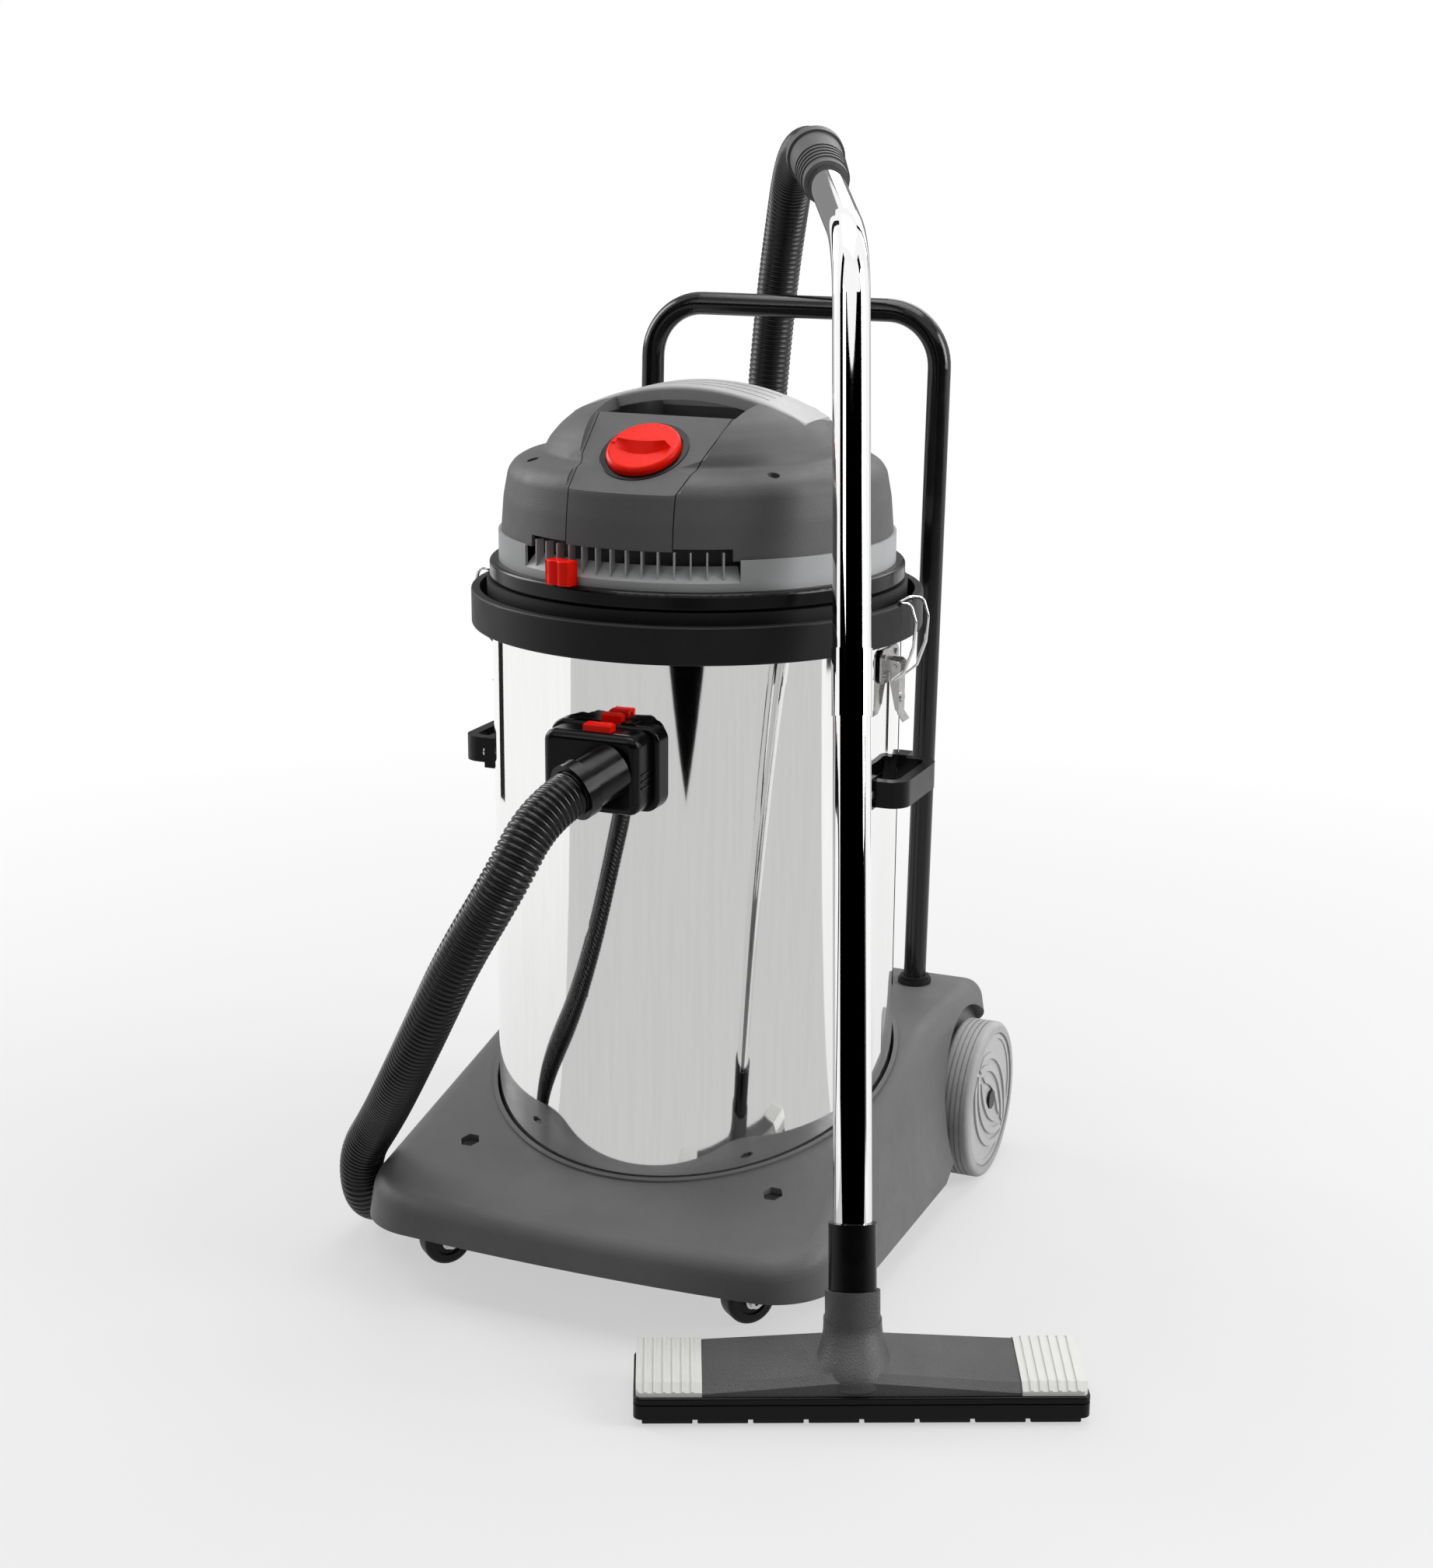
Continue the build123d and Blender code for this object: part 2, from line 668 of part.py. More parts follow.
def build_side_handle(side):
    """A moulded loop that stands out from the drum, level, with a foot at each end."""
    near = drum_radius - 12
    far = drum_radius + side_handle_reach
    half = side_handle_length / 2
    low_z = side_handle_z - side_handle_height / 2
    high_z = side_handle_z + side_handle_height / 2
    loop = block(near, far, -half, half, low_z, high_z)
    loop = fillet(loop.edges().filter_by(Axis.Z).group_by(Axis.X)[-1], 20.0)
    band = side_handle_band
    gap = block(near - 5, far - band, -half + band, half - band, low_z - 5, high_z + 5)
    gap = fillet(gap.edges().filter_by(Axis.Z).group_by(Axis.X)[-1], 10.0)
    loop -= gap
    feet = block(near, drum_radius + 5, -half - 10, half + 10, low_z - 3, high_z + 3) - gap
    loop = loop + feet - disc(drum_radius + fit_gap, 0, 2000)
    for y in rivet_places():
        loop -= rod_x(rivet_radius + 0.1, near - 10, far, y, side_handle_z)
    return loop if side > 0 else Rot(0, 0, 180) * loop


def rivet_places():
    """Distance along Y of the rivets in a side handle's two feet."""
    reach = side_handle_length / 2 + 5.2
    return (-reach, reach)


def build_handle_rivets():
    """Dome-headed rivets through the feet of both side handles, into the drum wall."""
    rivets = []
    for side in sides.values():
        for y in rivet_places():
            wall_x = sqrt(drum_radius ** 2 - y ** 2)
            face_x = drum_radius + 5.1
            rivet = rod_x(rivet_radius, side * (wall_x - 3), side * (face_x + 1), y, side_handle_z)
            rivet += rod_x(1.75 * rivet_radius, side * face_x, side * (face_x + 2.1), y, side_handle_z)
            rivets.append(rivet)
    return rivets


def build_latch_plate(side):
    """The riveted plate of a toggle latch, with two ears for the lever's pin."""
    base = drum_radius + fit_gap
    half = latch_plate_width / 2
    low_z = latch_pivot_z - latch_plate_height / 2
    high_z = latch_pivot_z + latch_plate_height / 2
    plate = block(base, base + latch_steel, -half, half, low_z, high_z)
    plate = fillet(plate.edges().filter_by(Axis.X), 7.0)
    for end in (-1, 1):
        near = end * (lever_width / 2 + run_gap)
        far = near + end * latch_steel
        ear = block(base, latch_pivot_x, near, far, latch_pivot_z - 6.5, latch_pivot_z + 6.5)
        plate += ear + rod_y(6.5, near, far, latch_pivot_x, latch_pivot_z)
        rivet_y = end * (half - 8)
        for drop in (-10, 10):
            plate += rod_x(3.6, base + latch_steel, base + latch_steel + 1.8, rivet_y, latch_pivot_z + drop)
    plate -= rod_y(2.6, -half, half, latch_pivot_x, latch_pivot_z)
    plate = Pos(0, latch_y, 0) * plate
    return plate if side > 0 else mirror(plate, Plane.YZ)


def build_latch_pin(side):
    reach = lever_width / 2 + run_gap + latch_steel + 1.5
    pin = rod_y(2.5, -reach, reach, latch_pivot_x, latch_pivot_z)
    return Pos(0, latch_y, 0) * (pin if side > 0 else mirror(pin, Plane.YZ))


def build_latch_lever(side):
    """A folded steel lever that hangs from the pin, with holes for the bail's feet."""
    half = lever_width / 2
    web_x = latch_pivot_x + 5.0
    tail_z = latch_pivot_z - lever_length
    cheek = [
        (latch_pivot_x - 5, latch_pivot_z + 5), (web_x, latch_pivot_z + 5), (web_x, tail_z + 8),
        (latch_pivot_x + 1, tail_z + 12), (latch_pivot_x - 5, bail_foot_z - 5),
    ]
    lever = slab_xz(cheek, -half, -half + 1.5) + slab_xz(cheek, half - 1.5, half)
    web = [
        (web_x - 1.5, latch_pivot_z - 7), (web_x, latch_pivot_z - 7), (web_x, tail_z + 8),
        (web_x + 6, tail_z), (web_x + 4.6, tail_z - 0.8), (web_x - 1.5, tail_z + 8),
    ]
    lever += slab_xz(web, -half, half)
    lever += rod_x(6, web_x - 0.5, web_x + 1.6, 0, latch_pivot_z - 34)
    lever -= rod_y(2.6, -half - 1, half + 1, latch_pivot_x, latch_pivot_z)
    lever -= rod_y(bail_wire + 0.1, -half - 1, half + 1, latch_pivot_x, bail_foot_z)
    lever = Pos(0, latch_y, 0) * lever
    return lever if side > 0 else mirror(lever, Plane.YZ)


def build_bail(side):
    """One bent wire: two feet in the lever, legs bowed round the collar and a bar over its top edge."""
    bar_z = collar_top_z + bail_wire + fit_gap
    bar_x = collar_radius - collar_wall + 3.0
    bow_x = collar_radius + bail_bow
    leg = [
        (latch_pivot_x, bail_foot_z), (latch_pivot_x + 14, bail_foot_z + 12),
        (bow_x - 2, collar_bottom_z - 5), (bow_x, collar_bottom_z + 22),
        (collar_radius + 8, bar_z), (bar_x, bar_z),
    ]
    inner = lever_width / 2 - 1.5
    wide = bail_half_width
    path = [(latch_pivot_x, -inner, bail_foot_z)] + [(x, -wide, z) for x, z in leg]
    path += [(x, wide, z) for x, z in reversed(leg)] + [(latch_pivot_x, inner, bail_foot_z)]
    radii = [4, 6, 14, 14, 7, 6, 6, 7, 14, 14, 6, 4]
    wire = Pos(0, latch_y, 0) * pipe(FilletPolyline(path, radius=radii), bail_wire)
    return wire if side > 0 else mirror(wire, Plane.YZ)


# ---------------------------------------------------------------- inlet and hose connector
def build_fitting():
    """The moulded flange on the drum's front, saddled to its curve, with a spigot through the wall."""
    half = fitting_width / 2
    low_z = inlet_z - fitting_height / 2
    high_z = inlet_z + fitting_height / 2
    flange = block(-half, half, fitting_face_y, -drum_radius + 30, low_z, high_z)
    flange = fillet(flange.edges().filter_by(Axis.Y), 16.0)
    flange = fillet(flange.faces().sort_by(Axis.Y)[0].edges(), 4.0)
    crest = block(
        -crest_width / 2, crest_width / 2, fitting_face_y + 2, -drum_radius + 30, high_z - 12,
        high_z + crest_rise,
    )
    flange += fillet(crest.edges().filter_by(Axis.Y).group_by(Axis.Z)[-1], 3.0)
    flange -= disc(drum_radius + fit_gap, 0, 2000)
    flange += rod_y(inlet_bore + 4, fitting_face_y + 2, -drum_radius + 28, 0, inlet_z)
    flange -= rod_y(inlet_bore, fitting_face_y - 5, 0, 0, inlet_z)
    return flange - button_pocket("fitting")


def build_deflector():
    """A hood inside the drum that turns the incoming air down the wall."""
    mouth_y = -drum_radius + 28 + fit_gap
    hood = block(-34, 34, mouth_y, mouth_y + 34, inlet_z - 40, inlet_z + 32)
    hood = fillet(hood.edges().filter_by(Axis.X).group_by(Axis.Z)[-1].sort_by(Axis.Y)[-1], 26.0)
    hood -= block(-31, 31, mouth_y + 3, mouth_y + 31, inlet_z - 50, inlet_z + 28)
    return hood - rod_y(inlet_bore, mouth_y - 5, mouth_y + 5, 0, inlet_z)


def build_connector():
    """The hose's plug-in box, with a slanting neck and three fine ribs on each flank."""
    half = box_width / 2
    low_z = inlet_z - box_height / 2
    high_z = inlet_z + box_height / 2
    back_y = fitting_face_y - fit_gap
    body = block(-half, half, box_face_y, back_y, low_z, high_z)
    body = fillet(body.edges().filter_by(Axis.Y), box_corner)
    body = fillet(body.faces().sort_by(Axis.Y)[0].edges(), 9.0)
    tip = Vector(*neck_tip)
    axis = Vector(*neck_axis).normalized()
    root = tip - axis * 48
    body += pipe(Line(root, tip), neck_radius)
    for step in (-1, 0, 1):
        z = inlet_z - 6 + 7 * step
        body += block(-half - 1, half + 1, box_face_y + 9, back_y, z - 0.9, z + 0.9)
    body -= block(-200, 200, back_y, 0, 0, 2000)
    body -= pipe(Line(root + axis * 8, tip + axis), hose_bore)
    body -= rod_y(inlet_bore, back_y + 1, fitting_face_y - 24, 0, inlet_z)
    body -= Pos(0, fitting_face_y - 22, inlet_z) * Sphere(inlet_bore)
    return body - button_pocket("connector")


def button_place(name):
    """Centre of a release button's foot on the inlet."""
    if name == "connector":
        return (4.0, (box_face_y + fitting_face_y) / 2 - 2, inlet_z + box_height / 2)
    return (7.0, (fitting_face_y - drum_radius) / 2 - 1.0, inlet_z + fitting_height / 2 + crest_rise)


def button_size(name):
    return (button_width, button_depth) if name == "connector" else (button_width - 8, button_depth - 3)


def button_pocket(name):
    x, y, z = button_place(name)
    width, depth = button_size(name)
    return Pos(x, y, z) * Box(width + 2 * run_gap, depth + 2 * run_gap, 2 * (button_travel + 4))


def build_button(name):
    """A ribbed red push button, its foot in a pocket."""
    x, y, z = button_place(name)
    width, depth = button_size(name)
    button = block(-width / 2, width / 2, -depth / 2, depth / 2, -3.6, button_height - 3.6)
    button = chamfer(button.edges().group_by(Axis.Z)[-1], 2.0)
    for step in range(8):
        groove_x = (step - 3.5) * (width - 6) / 8
        button -= block(groove_x - 0.6, groove_x + 0.6, -depth, depth, button_height - 4.4, button_height)
    return Pos(x, y, z) * button


def build_tank_cuff():
    """The collar that holds the hose on the connector's neck."""
    tip = Vector(*neck_tip)
    axis = Vector(*neck_axis).normalized()
    cuff = pipe(Line(tip - axis * 7, tip + axis * 7), neck_radius + 3, neck_radius + 0.1)
    return cuff + pipe(Line(tip + axis * 0.2, tip + axis * 7), neck_radius + 1, hose_radius + 0.2)


# ---------------------------------------------------------------- hose
def corner_radii(points):
    """The largest arc that each corner's two runs allow."""
    radii = []
    for before, here, after in zip(points, points[1:], points[2:]):
        run_in = Vector(*here) - Vector(*before)
        run_out = Vector(*after) - Vector(*here)
        turn = radians(run_in.get_angle(run_out))
        radii.append(0.45 * min(run_in.length, run_out.length) / tan(turn / 2))
    return radii


def build_hose():
    radii = corner_radii(hose_route)
    path = FilletPolyline(hose_route, radius=radii)
    hose = pipe(path, hose_radius, hose_bore)
    section = pi * (hose_radius ** 2 - hose_bore ** 2)
    ratio = hose.volume / section / path.length
    print("hose radii", [round(radius) for radius in radii])
    print("hose length", round(path.length), "volume over section times length", round(ratio, 4))
    return hose


# ---------------------------------------------------------------- wand
def wand_point(x, y, z):
    """A point of the wand's own turned frame, in the machine's frame."""
    turn = radians(wand_turn)
    return (x * cos(turn) - y * sin(turn), x * sin(turn) + y * cos(turn), z)


def wand_line_y(z):
    return wand_foot_y + wand_lean * z


def wand_axis(z):
    return wand_point(wand_x, wand_line_y(z), z)


def cuff_axis():
    """Unit vector along the wand's upper end."""
    apex = Vector(*wand_axis(wand_apex_z))
    return (Vector(*wand_point(cuff_x, cuff_y, cuff_z)) - apex).normalized()


def build_wand_lower():
    foot_z = nozzle_neck_z - 24
    socket_z = wand_joint_z - wand_socket_depth
    straight = pipe(Line(wand_axis(foot_z), wand_axis(socket_z)), wand_radius, wand_radius - wand_wall)
    outer = wand_radius + wand_socket_wall + 0.1
    socket = pipe(Line(wand_axis(socket_z), wand_axis(wand_joint_z)), outer, wand_radius + 0.1)
    step = pipe(Line(wand_axis(socket_z - 1.5), wand_axis(socket_z + 0.5)), outer, wand_radius - wand_wall)
    return straight + socket + step


def build_wand_upper():
    start = wand_axis(wand_joint_z - wand_socket_depth + 1.5)
    end = Vector(*wand_point(cuff_x, cuff_y, cuff_z)) - cuff_axis() * 6
    path = FilletPolyline([start, wand_axis(wand_apex_z), tuple(end)], radius=wand_bend)
    return pipe(path, wand_radius, wand_radius - wand_wall)


def build_wand_cuff():
    """The swivelling grip cuff between wand and hose: a ribbed cone with a dark collar at each end."""
    middle = Vector(*wand_point(cuff_x, cuff_y, cuff_z))
    axis = cuff_axis()
    start = Plane(origin=tuple(middle - axis * cuff_length / 2), z_dir=tuple(axis))
    body = loft([start * Circle(wand_radius + 5), start.offset(cuff_length) * Circle(cuff_radius)])
    for step in range(5):
        at = 12 + step * 9
        radius = wand_radius + 5 + (cuff_radius - wand_radius - 5) * at / cuff_length + 1.6
        body += extrude(start.offset(at) * Circle(radius), amount=4)
    body += extrude(start.offset(cuff_length - 14) * Circle(cuff_radius + 2), amount=14)
    body -= extrude(start.offset(-1) * Circle(wand_radius + 0.1), amount=cuff_length / 2 - 4)
    body -= extrude(start * Circle(hose_bore - 2), amount=cuff_length + 5)
    return body - extrude(start.offset(cuff_length - 22) * Circle(hose_radius + 0.6), amount=30)


# ---------------------------------------------------------------- floor nozzle, in the wand's frame
def placed(shape):
    """Carry a shape from the wand's frame to the machine's."""
    return Rot(0, 0, wand_turn) * shape


def nozzle_block(half, front, back, low, high, corner):
    body = block(nozzle_x - half, nozzle_x + half, front, back, low, high)
    return fillet(body.edges().filter_by(Axis.Z), corner)


def nozzle_outline(low_z, raise_z=0.0, lift=0.0):
    """The sloping upper body seen from its end: low at the front edge, high at the back."""
    front = nozzle_front_y + 3
    back = nozzle_front_y + nozzle_depth - 3
    crest_z = nozzle_back_z + raise_z + lift
    edge_z = nozzle_shoe_z + nozzle_shoe_height + raise_z + 1.5 * lift
    return [
        (front, low_z), (back, low_z), (back, crest_z - 8), (back - 14, crest_z),
        (front + 10, edge_z + 9), (front, edge_z + 3),
    ]


def nozzle_slope(x_from, x_to, low_z, raise_z=0.0):
    return slab_yz(nozzle_outline(low_z, raise_z), x_from, x_to)


def nozzle_wing(side, low_z):
    """One wing of the body, rising from its cap to the middle."""
    def end_face(x, lift):
        points = [(x, y, z) for y, z in nozzle_outline(low_z, 0.0, lift)]
        return make_face(Polyline(points, close=True))
    outer_x = nozzle_x + side * (nozzle_width / 2 - nozzle_cap)
    return loft([end_face(outer_x, 0.0), end_face(wand_x, nozzle_middle_rise)], ruled=True)


def neck_rod(radius, low_z, high_z):
    """A rod on the wand's line, in the wand's frame."""
    low = (wand_x, wand_line_y(low_z), low_z)
    return pipe(Line(low, (wand_x, wand_line_y(high_z), high_z)), radius)


def build_nozzle_shoe():
    """The black base with its suction slot, standing on segmented lips."""
    half = nozzle_width / 2
    back = nozzle_front_y + nozzle_depth
    top = nozzle_shoe_z + nozzle_shoe_height
    shoe = nozzle_block(half, nozzle_front_y, back, nozzle_shoe_z, top, 9.0)
    shoe = fillet(shoe.edges().group_by(Axis.Z)[-1], 2.0)
    groove = nozzle_block(half + 4, nozzle_front_y - 4, back + 4, top - 8, top - 6.4, 9.0)
    shoe -= groove - nozzle_block(half - 1.2, nozzle_front_y + 1.2, back - 1.2, top - 9, top - 5, 8.0)
    middle = (nozzle_front_y + back) / 2
    slot = nozzle_slot_depth / 2
    shoe -= block(nozzle_x - half + 14, nozzle_x + half - 14, middle - slot, middle + slot, -5, top - 4)
    return placed(shoe - neck_rod(wand_radius - 2, 0, 60))


def build_nozzle_lips():
    """Two rows of dark lip blocks under the shoe's long edges."""
    lips = []
    pitch = (nozzle_width - 12) / lip_blocks
    for row_y in (nozzle_front_y + 9, nozzle_front_y + nozzle_depth - 9):
        for index in range(lip_blocks):
            start = nozzle_x - nozzle_width / 2 + 6 + index * pitch
            lip = block(start + 2.4, start + pitch - 2.4, row_y - 4, row_y + 4, 0, nozzle_shoe_z)
            lips.append(placed(chamfer(lip.edges().group_by(Axis.Z)[0], 0.8)))
    return lips


def build_nozzle_body():
    """The charcoal upper moulding: two wings, a mound and the neck that takes the wand."""
    shoe_top = nozzle_shoe_z + nozzle_shoe_height
    body = nozzle_wing(-1, shoe_top) + nozzle_wing(1, shoe_top)
    body += neck_rod(nozzle_neck_radius, shoe_top + 8, nozzle_neck_z)
    # The mound where the neck turns forward into the shoe, round in front and flared into the wings
    middle_y = nozzle_front_y + nozzle_depth / 2
    root = nozzle_neck_radius + 1.5
    body += loft([
        Pos(wand_x, middle_y, shoe_top) * Ellipse(root + 27, nozzle_depth / 2 - 4),
        Pos(wand_x, middle_y - 1, 52) * Ellipse(root + 6, nozzle_depth / 2 - 9),
        Pos(wand_x, wand_line_y(66) - 3, 66) * Ellipse(root + 1, root + 4),
        Pos(wand_x, wand_line_y(80), 80) * Ellipse(root, root),
    ])
    body -= neck_rod(wand_radius + 0.1, nozzle_neck_z - 24, nozzle_neck_z + 5)
    return placed(body - neck_rod(wand_radius - 2, 0, nozzle_neck_z + 5))


def build_nozzle_cap(side):
    """A pale ribbed cap over one end of the body."""
    outer = nozzle_x + side * (nozzle_width / 2 - 2)
    inner = nozzle_x + side * (nozzle_width / 2 - nozzle_cap + fit_gap)
    shoe_top = nozzle_shoe_z + nozzle_shoe_height
    cap = nozzle_slope(min(outer, inner), max(outer, inner), shoe_top, 1.5)
    for index in range(6):
        x = inner + side * (9 + index * 9)
        cap += nozzle_slope(x - 1.4, x + 1.4, shoe_top + 1, 2.6)
    back = nozzle_front_y + nozzle_depth
    cap &= nozzle_block(nozzle_width / 2 - 2.5, nozzle_front_y + 2, back - 2, 0, 90, 8.0)
    return placed(cap)


def build_sleeve():
    """The dark sleeve that locks the nozzle to the wand."""
    low = wand_axis(nozzle_neck_z + 0.4)
    return pipe(Line(low, wand_axis(sleeve_top_z)), sleeve_radius, wand_radius + 0.1)


# ---------------------------------------------------------------- head: base, vent ring and cover
def build_lid_base():
    """The head's floor: a plate with a broad rim and a spigot down into the drum."""
    rim = ring(rim_radius, vent_radius - vent_wall - 6, rim_bottom_z, rim_top_z)
    rim = fillet(rim.edges().group_by(SortBy.LENGTH)[-1], 4.0)
    base = rim + disc(rim_radius - 10, rim_bottom_z, lid_plate_top_z)
    base += ring(spigot_radius, spigot_radius - spigot_wall, rim_bottom_z - spigot_depth, rim_bottom_z + 1)
    for side in sides.values():
        base -= disc(26, 0, 2000, side * motor_spacing / 2, 0)
        for end in (-1, 1):
            x, y = screw_place(side, end)
            base += disc(screw_post_radius, lid_plate_top_z - 1, screw_boss_z, x, y)
            base -= disc(2.6, lid_plate_top_z + 1, 2000, x, y)
    return base


def window_wedge(radius, low_z, high_z, angle_from, angle_to):
    """A slice of a disc between two directions, counted from +X."""
    start = radians(angle_from)
    middle = radians((angle_from + angle_to) / 2)
    end = radians(angle_to)
    points = [(0, 0)] + [(radius * cos(a), radius * sin(a)) for a in (start, (start + middle) / 2)]
    points += [(radius * cos(a), radius * sin(a)) for a in (middle, (middle + end) / 2, end)]
    face = make_face(Polyline(points, close=True))
    return extrude(Pos(0, 0, low_z) * face, amount=high_z - low_z, dir=(0, 0, 1))


def build_vent_ring():
    """The pale ring under the cover, with an exhaust window of upright fins in front."""
    inside = vent_radius - vent_wall
    vent = ring(vent_radius, inside, rim_top_z, vent_top_z)
    vent += ring(inside + 1, vent_radius - 14, rim_top_z, rim_top_z + 3)
    window_low = rim_top_z + vent_window_low
    # The window is open at the top and its floor is a slope that falls to the front
    wedge = window_wedge(vent_radius * 2, rim_top_z, vent_top_z + 5, vent_window_from, vent_window_to)
    floor = [
        (vent_radius - 14, rim_top_z), (vent_radius, rim_top_z), (vent_radius, window_low),
        (vent_radius - 14, window_low + vent_scoop),
    ]
    vent -= wedge & ring(vent_radius + 5, inside - 1, window_low, vent_top_z + 10)
    vent += wedge & turned(floor)
    pitch = (vent_window_to - vent_window_from) / vent_fins
    half = fin_thickness / 2
    fin_top_z = cover_bottom_z + panel_lift - fit_gap
    fin = block(vent_radius - 12, vent_radius - 2.5, -half, half, rim_top_z + 1, fin_top_z)
    for index in range(1, vent_fins):
        vent += Rot(0, 0, vent_window_from + index * pitch) * fin
    vent -= rod_y(gland_radius + fit_gap, vent_radius - 20, vent_radius + 20, 0, gland_z)
    stem_z = lock_low_z + lock_stem_rise
    stem_hole = rod_x(lock_stem_radius + run_gap, vent_radius - 20, vent_radius + 20, 0, stem_z)
    return vent - Rot(0, 0, lock_angle) * stem_hole


def cover_body(inset):
    """The cover as a solid of revolution: upright skirt, shoulder, narrow ledge and dome, all rounded."""
    skirt = cover_skirt_radius - inset
    shoulder = cover_shoulder_radius - inset
    ledge = cover_ledge_radius - inset
    foot_z = cover_bottom_z - (10 if inset else 0)
    # Radius, height and rounding of each corner; the ledge is the one hollow corner
    corners = [
        (skirt - 3, cover_bottom_z + 37, 60 - inset), (shoulder, cover_shoulder_z - inset, 20 - inset),
        (shoulder - 6, cover_shoulder_z + 9 - inset, 20 - inset),
        (shoulder - 16, cover_shoulder_z + 15 - inset, 28 - inset),
        (ledge, cover_ledge_z - inset, 9 + inset), (ledge - 6, cover_ledge_z + 12 - inset, 30 - inset),
        (ledge - 18, dome_top_z - 34 - inset, 70 - inset), (ledge - 35, dome_top_z - 20 - inset, 45 - inset),
        (ledge - 67, dome_top_z - 8 - inset, 110 - inset), (ledge - 108, dome_top_z - 2 - inset, 250 - inset),
    ]
    outline = [(0, foot_z), (skirt, foot_z)] + [(r, z) for r, z, _ in corners] + [(0, dome_top_z - inset)]
    return turned(outline, [((r, z), radius) for r, z, radius in corners])


def trough_section(half, y_from, y_to):
    """A gap of a given half width between the humps, flaring above the shoulder."""
    low_z = cover_bottom_z - 20
    high_z = dome_top_z + 60
    wide = half + trough_flare * (high_z - cover_shoulder_z)
    points = [
        (-half, low_z), (half, low_z), (half, cover_shoulder_z), (wide, high_z), (-wide, high_z),
        (-half, cover_shoulder_z),
    ]
    return slab_xz(points, y_from, y_to)


def trough_cut(grow):
    """What is taken off between the two humps: the panel's slope, the finger gap and the rear slope."""
    high_z = dome_top_z + 60
    step_z = cover_shoulder_z - grow
    break_z = panel_top_z - grow
    floor_z = grip_floor_z - grow
    rear = [(260, high_z), (260, step_z), (-panel_break_y, step_z), (-panel_top_y, break_z), (74, floor_z)]
    front = [(-y, z) for y, z in reversed(rear)]
    depth = slab_yz(rear + front, -cover_skirt_radius, cover_skirt_radius)
    return depth & trough_section(trough_half_width + grow, -280, 280)


def grip_band(grow, top=True):
    """The arched strip of the carry handle, or the space that it lies in."""
    end_z = grip_top_z - grip_rise
    radius_top = [(-grip_half_span - grow, end_z), (0, grip_top_z), (grip_half_span + grow, end_z)]
    low = grip_thickness + grow
    upper = ThreePointArc(*[(x, 0, z + (0 if top else 60)) for x, z in radius_top])
    lower = ThreePointArc(*[(x, 0, z - low) for x, z in radius_top])
    face = make_face([upper, lower, Line(upper @ 0, lower @ 0), Line(upper @ 1, lower @ 1)])
    band = extrude(face, amount=grip_back_y - grip_front_y + 2 * grow, dir=(0, 1, 0))
    return Pos(0, grip_front_y - grow, 0) * band


def cover_form(inset):
    return cover_body(inset) - trough_cut(inset) - grip_band(run_gap + inset, top=False)


def screw_place(side, end):
    """Where a cover screw sinks into the shoulder ledge."""
    turn = radians(screw_angle)
    return (side * screw_circle * cos(turn), end * screw_circle * sin(turn))


def build_cover_shell():
    """The whole upper shell, before it is parted into cover and control panel."""
    shell = cover_form(0) - cover_form(cover_wall)
    solids = shell.solids().sort_by(SortBy.VOLUME)
    return solids[-1]


def panel_box(grow):
    return trough_section(panel_half_width + grow, -300, panel_top_y + 7 + grow)


def build_cover(shell):
    """The charcoal cover: the shell less its panel and the window's edge, with four screw posts."""
    cover = shell - panel_box(panel_gap)
    low = cover_bottom_z - 5
    high = cover_bottom_z + notch_height
    cover -= window_wedge(2 * cover_skirt_radius, low, high, vent_window_from + 2, vent_window_to - 2)
    hollow = cover_form(cover_wall)
    for side in sides.values():
        for end in (-1, 1):
            x, y = screw_place(side, end)
            cover += disc(screw_post_radius, cover_bottom_z - 5, dome_top_z, x, y) & hollow
            cover += disc(screw_post_radius, screw_boss_z + fit_gap, cover_bottom_z - 4, x, y)
            cover -= disc(screw_hole_radius, screw_floor_z, dome_top_z, x, y)
            cover -= disc(2.6, lid_plate_top_z - 1, dome_top_z, x, y)
    return cover


def build_cover_screws():
    screws = []
    for side in sides.values():
        for end in (-1, 1):
            x, y = screw_place(side, end)
            top_z = screw_floor_z + 3.5
            screw = disc(4.8, screw_floor_z + 0.2, top_z, x, y)
            screw += disc(2.4, lid_plate_top_z + 3, screw_floor_z + 1, x, y)
            recess = Box(1.2, 7, 2.4) + Box(7, 1.2, 2.4)
            screws.append(screw - Pos(x, y, top_z) * recess)
    return screws


def panel_plane():
    """The plane of the sloping panel, at the knob's centre, facing out."""
    middle_y = (panel_top_y + panel_break_y) / 2 + knob_above_middle
    middle_z = cover_shoulder_z + (middle_y - panel_break_y) * tan(panel_angle)
    normal = (0, -sin(panel_angle), cos(panel_angle))
    return Plane(origin=(0, middle_y, middle_z), x_dir=(1, 0, 0), z_dir=normal)


def build_panel(shell):
    plane = panel_plane()
    panel = shell & panel_box(0)
    panel -= block(-trough_half_width, trough_half_width, -300, 0, 0, cover_bottom_z + panel_lift)
    cup_depth = knob_recess + cover_wall
    cup = extrude(plane.offset(-cup_depth) * Circle(knob_bezel_radius + 2), amount=cup_depth - 0.5)
    panel = panel.solids().sort_by(SortBy.VOLUME)[-1] + cup
    panel -= extrude(plane.offset(-knob_recess) * Circle(knob_bezel_radius + fit_gap), amount=20)
    return panel - extrude(plane.offset(-40) * Circle(knob_shaft_radius + 0.8), amount=80)


def top_circle(shape, plane):
    """The round edge of a disc that lies furthest out along a plane's normal."""
    far_point = plane.origin + plane.z_dir * 200
    return shape.edges().filter_by(GeomType.CIRCLE).sort_by_distance(far_point)[0]


